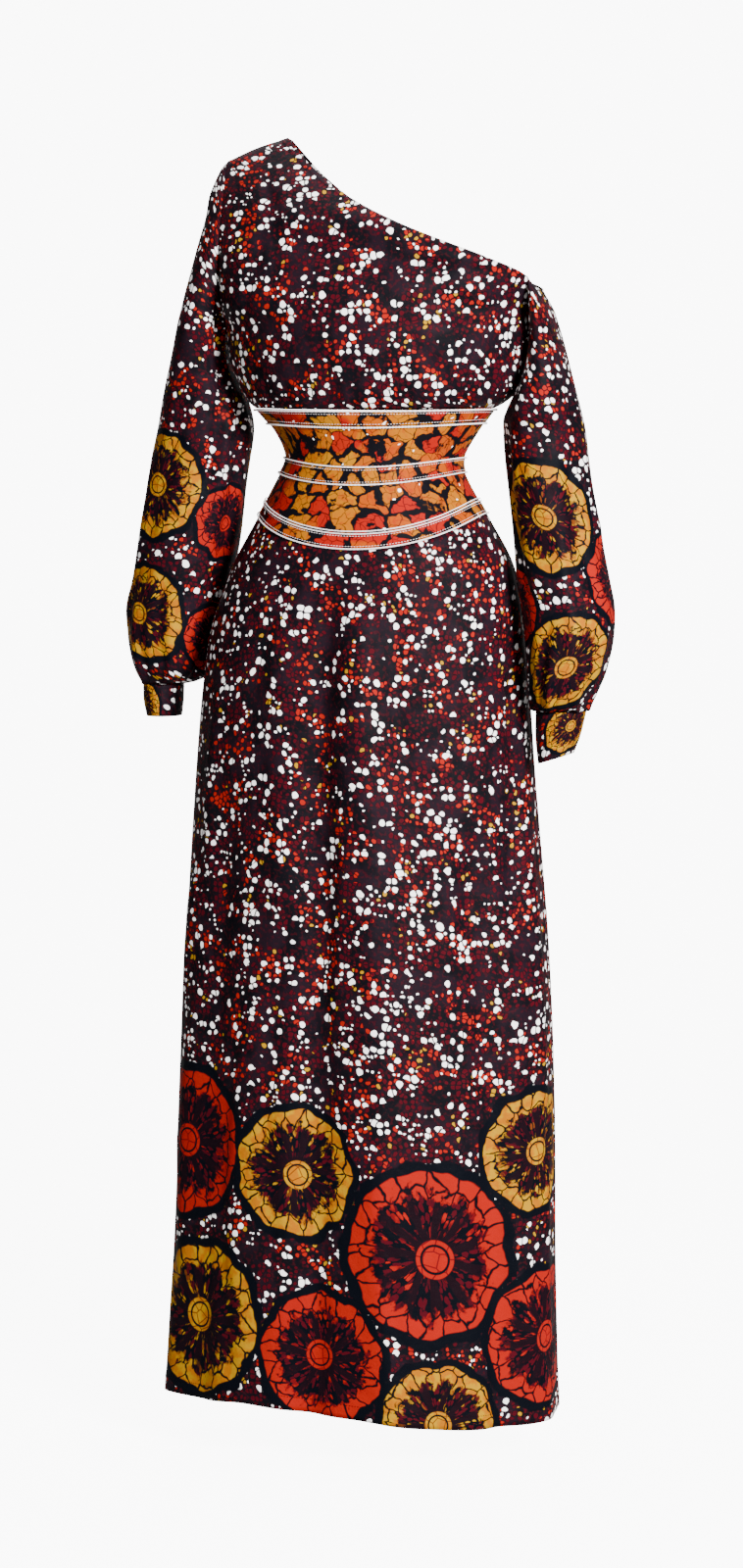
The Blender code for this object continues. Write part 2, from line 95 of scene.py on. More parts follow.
# The skirt's folds. around runs from the wearer's right side seam, 0, to the left one, 1
Fold = namedtuple("Fold", "front top_around foot_around top_height foot_height out width")
FOLDS = (
    Fold(True, 0.13, 0.12, 0.62, 0.00, 0.0060, 0.040),
    Fold(True, 0.25, 0.22, 0.72, 0.00, -0.0070, 0.045),
    Fold(True, 0.36, 0.40, 0.88, 0.50, 0.0045, 0.028),
    Fold(True, 0.46, 0.45, 0.93, 0.00, -0.0110, 0.036),
    Fold(True, 0.52, 0.59, 0.90, 0.00, 0.0130, 0.048),
    Fold(True, 0.75, 0.80, 0.66, 0.00, -0.0110, 0.040),
    Fold(True, 0.92, 0.83, 0.88, 0.50, -0.0060, 0.035),
    Fold(True, 0.90, 0.91, 0.72, 0.00, 0.0060, 0.036),
    Fold(False, 0.18, 0.15, 0.80, 0.00, 0.0070, 0.045),
    Fold(False, 0.30, 0.28, 0.86, 0.00, -0.0080, 0.045),
    Fold(False, 0.44, 0.41, 0.82, 0.00, 0.0090, 0.050),
    Fold(False, 0.56, 0.57, 0.84, 0.00, -0.0080, 0.045),
    Fold(False, 0.69, 0.72, 0.78, 0.00, 0.0080, 0.045),
    Fold(False, 0.84, 0.86, 0.74, 0.00, -0.0070, 0.045),
)
FOLD_FADE = 0.090

# The hem hangs unevenly: how far it lies above or below level, at shares round each half
HemLevel = namedtuple("HemLevel", "around rise")
HEM_LEVELS = {
    True: (
        HemLevel(0.00, 0.002),
        HemLevel(0.12, 0.003),
        HemLevel(0.25, 0.004),
        HemLevel(0.34, 0.008),
        HemLevel(0.45, 0.003),
        HemLevel(0.55, -0.001),
        HemLevel(0.64, -0.009),
        HemLevel(0.72, -0.013),
        HemLevel(0.86, -0.014),
        HemLevel(0.93, -0.011),
        HemLevel(1.00, -0.006),
    ),
    False: (
        HemLevel(0.00, 0.002),
        HemLevel(0.30, 0.004),
        HemLevel(0.60, -0.003),
        HemLevel(0.85, -0.008),
        HemLevel(1.00, -0.006),
    ),
}
HEM_LEVEL_REACH = 0.40

# Rows of the bodice from the midriff up to the shoulder seam
BodiceRow = namedtuple(
    "BodiceRow",
    "left_x left_depth left_height right_x right_depth right_height bulge roundness dip",
    defaults=(0.0,),
)
BODICE_FRONT = (
    BodiceRow(-0.1282, 0.000, 1.0925, 0.1362, 0.000, 1.0925, 0.0980, 1.0, 0.003),
    BodiceRow(-0.1350, 0.000, 1.0985, 0.1475, 0.000, 1.0985, 0.1050, 1.0, 0.003),
    BodiceRow(-0.1415, 0.000, 1.1090, 0.1600, 0.000, 1.1090, 0.1120, 1.0, 0.002),
    BodiceRow(-0.1475, 0.000, 1.1210, 0.1656, 0.000, 1.1210, 0.1175, 1.0),
    BodiceRow(-0.1565, 0.000, 1.1450, 0.1720, 0.000, 1.1450, 0.1235, 1.0),
    BodiceRow(-0.1590, 0.000, 1.1650, 0.1750, 0.000, 1.1650, 0.1250, 1.0),
    BodiceRow(-0.1600, 0.000, 1.1800, 0.1770, 0.000, 1.1780, 0.1240, 1.0),
    BodiceRow(-0.1590, 0.030, 1.2000, 0.1775, 0.000, 1.1950, 0.1060, 1.0),
    BodiceRow(-0.1585, 0.048, 1.2250, 0.1785, 0.030, 1.2150, 0.0780, 0.9),
    BodiceRow(-0.1580, 0.054, 1.2590, 0.1800, 0.048, 1.2325, 0.0570, 0.8),
    BodiceRow(-0.1580, 0.052, 1.2800, 0.1427, 0.082, 1.2513, 0.0350, 0.7),
    BodiceRow(-0.1580, 0.045, 1.3000, 0.0552, 0.093, 1.2855, 0.0240, 0.6),
    BodiceRow(-0.1580, 0.034, 1.3225, -0.0081, 0.073, 1.3166, 0.0160, 0.5),
    BodiceRow(-0.1590, 0.020, 1.3430, -0.0570, 0.042, 1.3520, 0.0100, 0.4, -0.001),
    BodiceRow(-0.1598, 0.008, 1.3600, -0.0890, 0.010, 1.3835, 0.0020, 0.3, -0.002),
    BodiceRow(-0.1600, 0.0001, 1.3610, -0.0916, 0.0001, 1.3850, 0.0, 0.3, -0.002),
)
BODICE_BACK = (
    BodiceRow(-0.1282, 0.000, 1.0925, 0.1362, 0.000, 1.0925, 0.0920, 1.0, 0.002),
    BodiceRow(-0.1350, 0.000, 1.0985, 0.1475, 0.000, 1.0985, 0.0960, 1.0, 0.002),
    BodiceRow(-0.1415, 0.000, 1.1090, 0.1600, 0.000, 1.1090, 0.0990, 1.0, 0.001),
    BodiceRow(-0.1475, 0.000, 1.1210, 0.1656, 0.000, 1.1210, 0.1010, 1.0),
    BodiceRow(-0.1565, 0.000, 1.1450, 0.1720, 0.000, 1.1450, 0.1020, 1.0),
    BodiceRow(-0.1590, 0.000, 1.1650, 0.1750, 0.000, 1.1650, 0.1010, 1.0),
    BodiceRow(-0.1600, 0.000, 1.1800, 0.1770, 0.000, 1.1780, 0.1000, 1.0),
    BodiceRow(-0.1590, 0.030, 1.2000, 0.1775, 0.000, 1.1950, 0.0830, 1.0),
    BodiceRow(-0.1585, 0.048, 1.2250, 0.1785, 0.030, 1.2105, 0.0550, 0.9),
    BodiceRow(-0.1580, 0.054, 1.2590, 0.1800, 0.048, 1.2235, 0.0380, 0.8),
    BodiceRow(-0.1580, 0.052, 1.2800, 0.1300, 0.070, 1.2400, 0.0240, 0.7),
    BodiceRow(-0.1580, 0.045, 1.3000, 0.0480, 0.078, 1.2740, 0.0160, 0.6),
    BodiceRow(-0.1580, 0.034, 1.3225, -0.0120, 0.061, 1.3070, 0.0120, 0.5),
    BodiceRow(-0.1590, 0.020, 1.3430, -0.0580, 0.037, 1.3440, 0.0080, 0.4, -0.001),
    BodiceRow(-0.1598, 0.008, 1.3600, -0.0890, 0.010, 1.3825, 0.0020, 0.3, -0.002),
    BodiceRow(-0.1600, 0.0001, 1.3610, -0.0916, 0.0001, 1.3850, 0.0, 0.3, -0.002),
)

# Sections of sleeves and cuffs from the top down, as distances from the middle plane
SleeveRow = namedtuple(
    "SleeveRow",
    "height inner outer half_depth centre_y open_half drop",
    defaults=(0.0, 0.0),
)
RIGHT_SLEEVE = (
    SleeveRow(1.3612, 0.1599, 0.1612, 0.0012, 0.000, 0.0012, 0.0004),
    SleeveRow(1.3570, 0.1596, 0.1676, 0.009, 0.000, 0.009, 0.003),
    SleeveRow(1.3430, 0.1590, 0.1743, 0.020, 0.000, 0.020, 0.003),
    SleeveRow(1.3225, 0.1580, 0.1806, 0.034, 0.000, 0.034),
    SleeveRow(1.3000, 0.1580, 0.1838, 0.045, 0.000, 0.045),
    SleeveRow(1.2800, 0.1580, 0.1895, 0.052, 0.000, 0.052),
    SleeveRow(1.2590, 0.1580, 0.1952, 0.056, 0.000, 0.054),
    SleeveRow(1.2250, 0.1585, 0.2042, 0.058, 0.000, 0.048),
    SleeveRow(1.2000, 0.1590, 0.2106, 0.058, 0.000, 0.030),
    SleeveRow(1.1800, 0.1600, 0.2155, 0.058, 0.000),
    SleeveRow(1.1500, 0.1630, 0.2244, 0.058, 0.010),
    SleeveRow(1.1210, 0.1540, 0.2338, 0.058, 0.018),
    SleeveRow(1.0950, 0.1440, 0.2413, 0.058, 0.025),
    SleeveRow(1.0670, 0.1400, 0.2476, 0.058, 0.028),
    SleeveRow(1.0350, 0.1455, 0.2552, 0.058, 0.030),
    SleeveRow(1.0030, 0.1510, 0.2608, 0.058, 0.032),
    SleeveRow(0.9550, 0.1575, 0.2706, 0.059, 0.036),
    SleeveRow(0.9060, 0.1670, 0.2785, 0.061, 0.041),
    SleeveRow(0.8740, 0.1725, 0.2862, 0.062, 0.044),
    SleeveRow(0.8420, 0.1785, 0.2870, 0.061, 0.045),
    SleeveRow(0.8180, 0.1840, 0.2835, 0.057, 0.045),
    SleeveRow(0.8010, 0.1920, 0.2782, 0.051, 0.044),
    SleeveRow(0.7905, 0.2050, 0.2728, 0.041, 0.043),
    SleeveRow(0.7860, 0.2238, 0.2702, 0.0315, 0.042),
)
LEFT_SLEEVE = (
    SleeveRow(1.2325, 0.1800, 0.1885, 0.048, 0.000, 0.048, 0.013),
    SleeveRow(1.2150, 0.1785, 0.1960, 0.054, 0.000, 0.030, 0.009),
    SleeveRow(1.1950, 0.1775, 0.2010, 0.056, 0.000, 0.000, 0.002),
    SleeveRow(1.1630, 0.1760, 0.2100, 0.056, 0.005),
    SleeveRow(1.1370, 0.1722, 0.2185, 0.057, -0.002),
    SleeveRow(1.1100, 0.1622, 0.2266, 0.058, -0.005),
    SleeveRow(1.0850, 0.1490, 0.2325, 0.058, -0.003),
    SleeveRow(1.0670, 0.1468, 0.2355, 0.058, 0.004),
    SleeveRow(1.0350, 0.1503, 0.2403, 0.058, 0.000),
    SleeveRow(1.0030, 0.1548, 0.2457, 0.058, -0.005),
    SleeveRow(0.9550, 0.1615, 0.2554, 0.059, -0.012),
    SleeveRow(0.9060, 0.1665, 0.2662, 0.061, -0.020),
    SleeveRow(0.8740, 0.1725, 0.2724, 0.062, -0.023),
    SleeveRow(0.8420, 0.1770, 0.2715, 0.061, -0.026),
    SleeveRow(0.8095, 0.1805, 0.2630, 0.057, -0.028),
    SleeveRow(0.7880, 0.1820, 0.2535, 0.050, -0.029),
    SleeveRow(0.7725, 0.1850, 0.2462, 0.041, -0.030),
    SleeveRow(0.7655, 0.1880, 0.2440, 0.030, -0.030),
)
RIGHT_CUFF = (
    SleeveRow(0.7855, 0.2245, 0.2694, 0.031, 0.042),
    SleeveRow(0.7680, 0.2252, 0.2690, 0.031, 0.042),
    SleeveRow(0.7500, 0.2272, 0.2655, 0.029, 0.042),
)
LEFT_CUFF = (
    SleeveRow(0.7650, 0.1885, 0.2435, 0.0295, -0.030),
    SleeveRow(0.7360, 0.1885, 0.2375, 0.028, -0.030, 0.000, -0.004),
    SleeveRow(0.7080, 0.1915, 0.2300, 0.026, -0.030, 0.000, -0.012),
)

# Gathers: a row for each set of waves, with their number round the piece
Gather = namedtuple("Gather", "waves out phase")
BODICE_GATHERS = (
    Gather(6, 0.0024, 0.0),
    Gather(17, 0.0012, 0.9),
    Gather(29, 0.0007, 2.1),
)
BODICE_GATHER_RISE = 0.012
BODICE_GATHER_RUN = 0.055
SLEEVE_GATHERS = (
    Gather(6, 0.0024, -1.5708),
    Gather(13, 0.0016, 1.3),
    Gather(22, 0.0009, 0.4),
)
SLEEVE_GATHER_RUN = 0.090

# Creases, as chalk lines on each piece: u across and v up, in metres of cloth
Crease = namedtuple("Crease", "start_u start_v end_u end_v out width")
SKIRT_FRONT_CREASES = (
    Crease(-0.075, 0.900, -0.120, 0.700, -0.0024, 0.010),
    Crease(-0.035, 0.905, -0.060, 0.760, -0.0018, 0.008),
    Crease(0.060, 0.880, 0.085, 0.690, -0.0021, 0.010),
    Crease(0.105, 0.900, 0.150, 0.740, -0.0027, 0.011),
    Crease(-0.165, 0.800, -0.175, 0.560, 0.0030, 0.012),
    Crease(-0.200, 0.520, -0.225, 0.080, -0.0042, 0.014),
    Crease(-0.120, 0.480, -0.130, 0.020, -0.0033, 0.012),
    Crease(-0.060, 0.560, -0.075, 0.150, -0.0036, 0.012),
    Crease(0.010, 0.640, 0.020, 0.260, 0.0033, 0.013),
    Crease(0.075, 0.420, 0.085, 0.010, -0.0036, 0.012),
    Crease(0.145, 0.600, 0.165, 0.200, -0.0033, 0.012),
    Crease(0.215, 0.500, 0.235, 0.060, 0.0039, 0.013),
    Crease(0.255, 0.360, 0.265, 0.010, -0.0036, 0.010),
    Crease(-0.265, 0.300, -0.275, 0.010, 0.0036, 0.010),
    Crease(-0.020, 0.300, -0.030, 0.010, 0.0030, 0.012),
    Crease(0.130, 0.250, 0.120, 0.010, 0.0030, 0.011),
)
SKIRT_BACK_CREASES = (
    Crease(-0.090, 0.880, -0.130, 0.660, -0.0025, 0.011),
    Crease(0.080, 0.890, 0.120, 0.650, -0.0025, 0.011),
    Crease(-0.180, 0.620, -0.200, 0.180, -0.0036, 0.013),
    Crease(-0.100, 0.540, -0.110, 0.060, 0.0034, 0.013),
    Crease(-0.010, 0.600, -0.020, 0.120, -0.0036, 0.012),
    Crease(0.070, 0.520, 0.085, 0.020, 0.0034, 0.013),
    Crease(0.150, 0.560, 0.175, 0.100, -0.0036, 0.013),
    Crease(0.235, 0.400, 0.255, 0.020, 0.0031, 0.011),
    Crease(-0.250, 0.420, -0.265, 0.030, -0.0031, 0.011),
)
BODICE_FRONT_CREASES = (
    Crease(-0.130, 0.100, -0.100, 0.270, -0.0029, 0.010),
    Crease(-0.085, 0.120, -0.110, 0.290, -0.0021, 0.009),
    Crease(0.150, 0.050, 0.080, 0.150, -0.0031, 0.011),
    Crease(0.170, 0.090, 0.095, 0.175, 0.0029, 0.012),
    Crease(0.165, 0.130, 0.060, 0.165, -0.0021, 0.008),
    Crease(0.110, 0.020, 0.060, 0.095, -0.0023, 0.009),
    Crease(-0.150, 0.030, -0.090, 0.090, -0.0029, 0.010),
    Crease(-0.110, 0.010, -0.060, 0.085, 0.0023, 0.009),
    Crease(-0.020, 0.015, -0.030, 0.080, -0.0021, 0.008),
    Crease(0.030, 0.020, 0.020, 0.095, 0.0021, 0.009),
    Crease(-0.060, 0.190, 0.060, 0.150, -0.0017, 0.010),
    Crease(-0.090, 0.240, 0.000, 0.185, 0.0018, 0.011),
)
BODICE_BACK_CREASES = (
    Crease(-0.140, 0.060, -0.080, 0.140, -0.0029, 0.010),
    Crease(0.140, 0.060, 0.070, 0.135, -0.0029, 0.010),
    Crease(-0.050, 0.020, -0.040, 0.110, 0.0023, 0.010),
    Crease(0.040, 0.020, 0.050, 0.100, -0.0021, 0.009),
    Crease(-0.100, 0.230, 0.010, 0.170, -0.0021, 0.010),
)
RIGHT_SLEEVE_CREASES = (
    Crease(0.070, 0.470, 0.062, 0.220, -0.0065, 0.009),
    Crease(0.035, 0.360, 0.028, 0.110, -0.0054, 0.010),
    Crease(0.050, 0.330, 0.046, 0.150, 0.0038, 0.008),
    Crease(0.105, 0.400, 0.120, 0.160, -0.0030, 0.011),
    Crease(0.140, 0.260, 0.150, 0.060, 0.0035, 0.012),
    Crease(0.165, 0.480, 0.175, 0.300, -0.0027, 0.010),
    Crease(0.210, 0.420, 0.205, 0.140, -0.0051, 0.011),
    Crease(0.250, 0.350, 0.260, 0.090, 0.0041, 0.012),
    Crease(0.290, 0.430, 0.300, 0.160, -0.0051, 0.011),
    Crease(0.330, 0.320, 0.320, 0.080, -0.0035, 0.010),
    Crease(0.085, 0.150, 0.095, 0.030, -0.0046, 0.008),
    Crease(0.120, 0.120, 0.125, 0.020, 0.0038, 0.008),
)
LEFT_SLEEVE_CREASES = (
    Crease(0.050, 0.340, 0.045, 0.120, -0.0049, 0.010),
    Crease(0.080, 0.400, 0.095, 0.200, 0.0032, 0.011),
    Crease(0.125, 0.290, 0.140, 0.090, -0.0062, 0.009),
    Crease(0.100, 0.220, 0.105, 0.050, 0.0035, 0.009),
    Crease(0.030, 0.420, 0.040, 0.250, -0.0035, 0.010),
    Crease(0.160, 0.390, 0.170, 0.180, 0.0032, 0.012),
    Crease(0.205, 0.360, 0.200, 0.100, -0.0049, 0.011),
    Crease(0.255, 0.330, 0.260, 0.110, 0.0038, 0.012),
    Crease(0.295, 0.390, 0.300, 0.150, -0.0049, 0.011),
    Crease(0.330, 0.260, 0.325, 0.060, -0.0035, 0.010),
    Crease(0.070, 0.120, 0.075, 0.020, -0.0046, 0.008),
    Crease(0.145, 0.110, 0.150, 0.020, 0.0041, 0.008),
)

# Round motifs of the print, on each piece's own cloth: kind 0 is amber and 1 is red
Motif = namedtuple("Motif", "kind u v radius")
AMBER = 0
RED = 1
SKIRT_FRONT_MOTIFS = (
    Motif(RED, -0.205, 0.285, 0.078),
    Motif(AMBER, -0.055, 0.262, 0.068),
    Motif(RED, 0.105, 0.190, 0.092),
    Motif(AMBER, 0.232, 0.300, 0.064),
    Motif(AMBER, -0.178, 0.090, 0.081),
    Motif(RED, -0.018, 0.062, 0.070),
    Motif(AMBER, 0.118, 0.004, 0.066),
    Motif(RED, 0.248, 0.095, 0.072),
)
SKIRT_BACK_MOTIFS = (
    Motif(AMBER, -0.212, 0.272, 0.064),
    Motif(RED, -0.060, 0.235, 0.082),
    Motif(AMBER, 0.110, 0.275, 0.068),
    Motif(RED, 0.237, 0.167, 0.074),
    Motif(RED, -0.192, 0.085, 0.074),
    Motif(AMBER, -0.035, 0.050, 0.074),
    Motif(RED, 0.120, 0.060, 0.072),
)
RIGHT_SLEEVE_MOTIFS = (
    Motif(AMBER, 0.118, 0.232, 0.056),
    Motif(RED, 0.020, 0.205, 0.040),
    Motif(AMBER, 0.108, 0.090, 0.050),
    Motif(RED, 0.225, 0.150, 0.060),
    Motif(AMBER, 0.320, 0.240, 0.054),
    Motif(AMBER, 0.190, 0.015, 0.040),
    Motif(RED, 0.015, 0.070, 0.040),
    Motif(RED, 0.320, 0.080, 0.050),
)
LEFT_SLEEVE_MOTIFS = (
    Motif(AMBER, 0.085, 0.222, 0.058),
    Motif(RED, 0.180, 0.150, 0.052),
    Motif(AMBER, 0.095, 0.062, 0.052),
    Motif(RED, 0.010, 0.120, 0.044),
    Motif(AMBER, 0.230, 0.045, 0.050),
    Motif(RED, 0.290, 0.190, 0.057),
    Motif(AMBER, 0.330, 0.060, 0.046),
)
RIGHT_CUFF_MOTIFS = (Motif(AMBER, 0.060, 0.016, 0.024), Motif(RED, 0.130, 0.020, 0.022))
LEFT_CUFF_MOTIFS = (Motif(AMBER, 0.055, 0.034, 0.027), Motif(RED, 0.120, 0.020, 0.024))
MOTIF_REACH = 1.35
MOTIF_STRIDE = 8.0
MOTIF_LOBES = 9.0
MOTIF_RAYS = 11.0
NO_MOTIF = 3.5

# Soft steps inside a motif, from its middle out to the dark border beyond its edge at 1
MIDDLE_END = (0.22, 0.36)
RAY_END = (0.56, 0.76)
RIM_START = (0.70, 0.79)
MOTIF_EDGE = (0.985, 1.005)
BORDER_END = (1.115, 1.145)

# How uneven a motif is: its edge, its lobes, the rim's inner side, the rays and the border
EDGE_RIPPLE = 0.16
LOBE_DEPTH = 0.022
RIM_RAGGED = 0.55
RAY_BEND = 9.0
BORDER_WANDER = 0.14

# The eye: its edge, the ring in it, and how far it may lie off the motif's middle
EYE_EDGE = (0.225, 0.240)
EYE_RING = 0.165
EYE_OFF_CENTRE = (0.06, -0.05, 0.0)

# Steps through the noise and the cracks from one motif to the next, so that none repeats
MOTIF_NOISE_STEP = (1.7, 0.9, 0.0)
MOTIF_CRACK_STEP = (5.3, 2.1, 0.0)

# Kinds of dots in the ground, with least and most radius and rim as shares of their spacing
DotKind = namedtuple("DotKind", "shift spacing_share keep cluster_size least most rim")
COLOURED_DOTS = DotKind((0.37, 0.11, 0.0), 0.72, 0.85, 0.036, 0.22, 0.48, 0.10)
TINY_DOTS = DotKind((0.13, 0.71, 0.0), 0.60, 0.10, 0.034, 0.18, 0.36, 0.12)
LARGE_DOTS = DotKind((0.0, 0.0, 0.0), 1.00, 0.22, 0.026, 0.26, 0.47, 0.14)
DOT_SCATTER = 0.85
DOT_CROWDING = 1.9
DOT_SOFTNESS = 0.035

# Patches of noise in the prints: waves to a metre, detail, roughness and a soft step's ends
NoisePatch = namedtuple("NoisePatch", "rate detail roughness start end")
CLOUDS = NoisePatch(26.0, 3.0, 0.5, 0.42, 0.62)
FLECKS = NoisePatch(210.0, 2.0, 0.5, 0.52, 0.66)
RED_PLACES = NoisePatch(19.0, 2.0, 0.5, 0.44, 0.60)
GOLDEN_PLACES = NoisePatch(31.0, 1.0, 0.5, 0.60, 0.70)
MOTTLE = NoisePatch(120.0, 3.0, 0.6, 0.48, 0.70)
THICK_VEINS = NoisePatch(38.0, 3.0, 0.6, 0.36, 0.70)
BLOTS = NoisePatch(24.0, 4.0, 0.62, 0.625, 0.665)

# The ground: how its dots are bent, how strongly flecks show, and which dots have colour
GROUND_WARP = (75.0, 0.0050)
FLECK_SHARE = 0.40
RED_SHARE = 0.62
YELLOW_FALL = (-0.2, 3.0)

# The waist print: how its patches are bent and drawn out, and where each colour starts
WAIST_WARP = (60.0, 0.012)
WAIST_STRETCH = (0.86, 1.05, 1.0)
WARM_RATE = 14.0
WARM_REACH = 1.6
ORANGE_START = (0.36, 0.50)
AMBER_START = (0.72, 0.88)
GOLDEN_START = (0.66, 0.80)
GOLDEN_SHARE = 0.45
MOTTLE_SHARE = 0.45

# Its dark lines: fine cracks, and veins whose width changes from place to place
CRACK_SHIFT = (0.4, 0.9, 0.0)
CRACK_RATE = 2.1
CRACK_WIDTH = (0.010, 0.060)
CRACK_SHARE = 0.75
VEIN_MOST = 0.17
VEIN_SOFTNESS = 0.045

# Specks: least size, what chance adds and soft rim as shares of a cell, and the share kept
Speck = namedtuple("Speck", "least spread soft keep")
MOTIF_SPECKS = Speck(0.16, 0.30, 0.10, 0.30)
WAIST_SPECKS = Speck(0.14, 0.20, 0.06, 0.012)
WAIST_SPECK_RATE = 5.0

# Cotton's finish, and the height of its threads, small crumples and broad crumples
COTTON_IOR = 1.45
COTTON_SHINE = 0.02
COTTON_FUZZ = 0.45
THREAD_HEIGHT = 0.00002
SMALL_CRUMPLE = 0.00016
BROAD_CRUMPLE = 0.0011

# Colours of the small parts that no setting changes
MOTIF_SLATE = (0.0016, 0.0021, 0.0038, 1.0)
CORD_FLECK = (0.62, 0.30, 0.30, 1.0)
THREAD_COLOUR = (0.004, 0.002, 0.004, 1.0)

# Small steps and limits of the shape functions
SIDE_SEAM_SHARE = 0.0001
SEAM_GAP = 0.0001
NORMAL_STEP = 0.002
ROW_LEAST = 0.004
TINY = 1e-9
MERGE_DISTANCE = 0.00005

# Shares of a row's mean point that give its middle line, which has no depth in a half
WHOLE_PIECE = (1.0, 1.0, 1.0)
HALF_PIECE = (1.0, 0.0, 1.0)

# The halves of every piece that has a front and a back
HALVES = ((True, "front"), (False, "back"))

# How creases bow, where they end, and the shallow bed beside each ridge
CREASE_BOW = 0.05
CREASE_END = 0.030
CREASE_SHOULDER = 0.35
CREASE_BED = 2.2
SEAM_FADE = 0.020

# Side seams sink a little, and turned edges stand a little proud
SEAM_SINK = 0.0008
SEAM_WIDTH = 0.005
HEM_HEIGHT = 0.017
HEM_RISE = 0.00045
HEM_EASE = 0.003
NECKLINE_START = {True: 1.2325, False: 1.2235}
NECKLINE_EASE = 0.006
NECKLINE_TURN = 0.007

# Points across and up each grid of cloth
SKIRT_COLUMNS = {True: 120, False: 96}
SKIRT_ROWS = {True: 176, False: 150}
BODICE_COLUMNS = {True: 120, False: 96}
BODICE_ROWS = {True: 84, False: 70}
MIDRIFF_COLUMNS = 120
MIDRIFF_ROWS = 36
BAND_ROWS = 4
SLEEVE_COLUMNS = 96
SLEEVE_ROWS = 120
CUFF_ROWS = 16

# Where the print of each piece starts, so that front and back don't repeat
PRINT_SHIFT = {
    "skirt_front": (0.0, 0.0),
    "skirt_back": (1.3, 0.0),
    "bodice_front": (0.0, 1.2),
    "bodice_back": (1.3, 1.2),
    "sleeve_right": (2.6, 0.0),
    "sleeve_left": (2.6, 0.9),
    "cuff_right": (3.4, 0.0),
    "cuff_left": (3.4, 0.3),
    "midriff_front": (0.0, 0.0),
    "midriff_back": (1.1, 0.0),
    "band_low_back": (1.1, 0.0),
    "band_middle_back": (1.1, 0.0),
    "band_high_back": (1.1, 0.0),
}
WAIST_ROUND = 0.33
CUFF_STITCH_INSET = 0.004
HEM_STITCH_INSET = 0.002

# Stitches: how far they turn at random, and the share of their radius that they stand off
STITCH_WANDER = 0.05
STITCH_RAISED = 0.4
BEAD_SEGMENTS = 6
BEAD_RINGS = 4

# White cords, from the lowest line up: lifts hold a height for each strand laid side by side
Cord = namedtuple("Cord", "radius pitch strands depth lifts")
CORDS = (
    Cord(0.0009, 0.0040, 2, 0.10, (0.0,)),
    Cord(0.0007, 0.0034, 2, 0.12, (-0.0014, 0.0014)),
    Cord(0.0009, 0.0042, 2, 0.16, (0.0,)),
    Cord(0.0009, 0.0042, 2, 0.16, (0.0,)),
    Cord(0.0011, 0.0034, 0, 0.24, (0.0,)),
    Cord(0.0012, 0.0052, 2, 0.18, (0.0,)),
)
CORD_STEP = 0.0005
CORD_SIDES = 10
TRIM_STITCH_LIFTS = (0.0030, -0.0036, 0.0030, -0.0030, 0.0032, -0.0034)
SLEEVE_MIDDLE = 0.170
CUFF_MIDDLE = 0.080
SLEEVE_BACK_DROP = 0.75

Sleeve = namedtuple("Sleeve", "side name rows cuff creases motifs cuff_motifs")
SLEEVES = (
    Sleeve(
        -1.0,
        "right",
        RIGHT_SLEEVE,
        RIGHT_CUFF,
        RIGHT_SLEEVE_CREASES,
        RIGHT_SLEEVE_MOTIFS,
        RIGHT_CUFF_MOTIFS,
    ),
    Sleeve(
        1.0,
        "left",
        LEFT_SLEEVE,
        LEFT_CUFF,
        LEFT_SLEEVE_CREASES,
        LEFT_SLEEVE_MOTIFS,
        LEFT_CUFF_MOTIFS,
    ),
)

# Light that only the camera sees, so that the paper reads as white
BACKDROP_GLOW = 9.0

# Pale light from all round
ROOM_LIGHT = 0.20
ROOM_COLOUR = (0.97, 0.98, 1.0, 1.0)

# The paper backdrop: a floor that bends up into a wall behind the dress
PAPER_GREY = (0.36, 0.36, 0.36, 1.0)
PAPER_REACH = 9.0
PAPER_BEND_START = 2.2
PAPER_BEND = 1.6
PAPER_BEND_STEPS = 16
PAPER_TOP = 7.0

# Studio lamps, placed from the middle of the dress with +X to the picture's right
Lamp = namedtuple("Lamp", "name place size energy colour")
LAMPS = (
    Lamp("key_lamp", (1.9, -3.8, 1.5), 1.0, 830.0, (1.0, 0.99, 0.98)),
    Lamp("fill_lamp", (-3.0, -2.6, 0.6), 2.4, 12.0, (0.97, 0.98, 1.0)),
    Lamp("top_lamp", (0.0, -0.4, 3.0), 2.2, 60.0, (1.0, 1.0, 1.0)),
    Lamp("back_lamp", (0.0, 1.2, 2.6), 2.6, 120.0, (1.0, 1.0, 1.0)),
)

# Height above the hem that the lamps look at
LAMP_AIM = 0.7


class DressSizes(bpy.types.PropertyGroup):
    """Sizes of cloth, print, trims and stitches."""

    wall: FloatProperty(
        name="Cloth thickness",
        description="Thickness of one layer of cotton with its turnings",
        default=0.0007,
        unit="LENGTH",
    )
    band_wall: FloatProperty(
        name="Band thickness",
        description="Thickness of the ribbon bands round the midriff",
        default=0.0006,
        unit="LENGTH",
    )
    trim_gap: FloatProperty(
        name="Trim gap",
        description="Distance that keeps a trim clear of the cloth under it",
        default=0.0003,
        unit="LENGTH",
    )
    pebble: FloatProperty(
        name="Pebble spacing",
        description="Distance between the large pale pebbles of the print",
        default=0.0088,
        unit="LENGTH",
    )
    patch: FloatProperty(
        name="Waist patch",
        description="Size of the coloured patches on the waist print",
        default=0.0210,
        unit="LENGTH",
    )
    thread: FloatProperty(
        name="Thread spacing",
        description="Distance between threads of the weave",
        default=0.0006,
        unit="LENGTH",
    )
    stitch_length: FloatProperty(
        name="Stitch length",
        description="Length of one stitch",
        default=0.0022,
        unit="LENGTH",
    )
    stitch_pitch: FloatProperty(
        name="Stitch pitch",
        description="Distance from one stitch to the next",
        default=0.0032,
        unit="LENGTH",
    )
    stitch_radius: FloatProperty(
        name="Stitch radius",
        description="Radius of the sewing thread",
        default=0.00028,
        unit="LENGTH",
    )


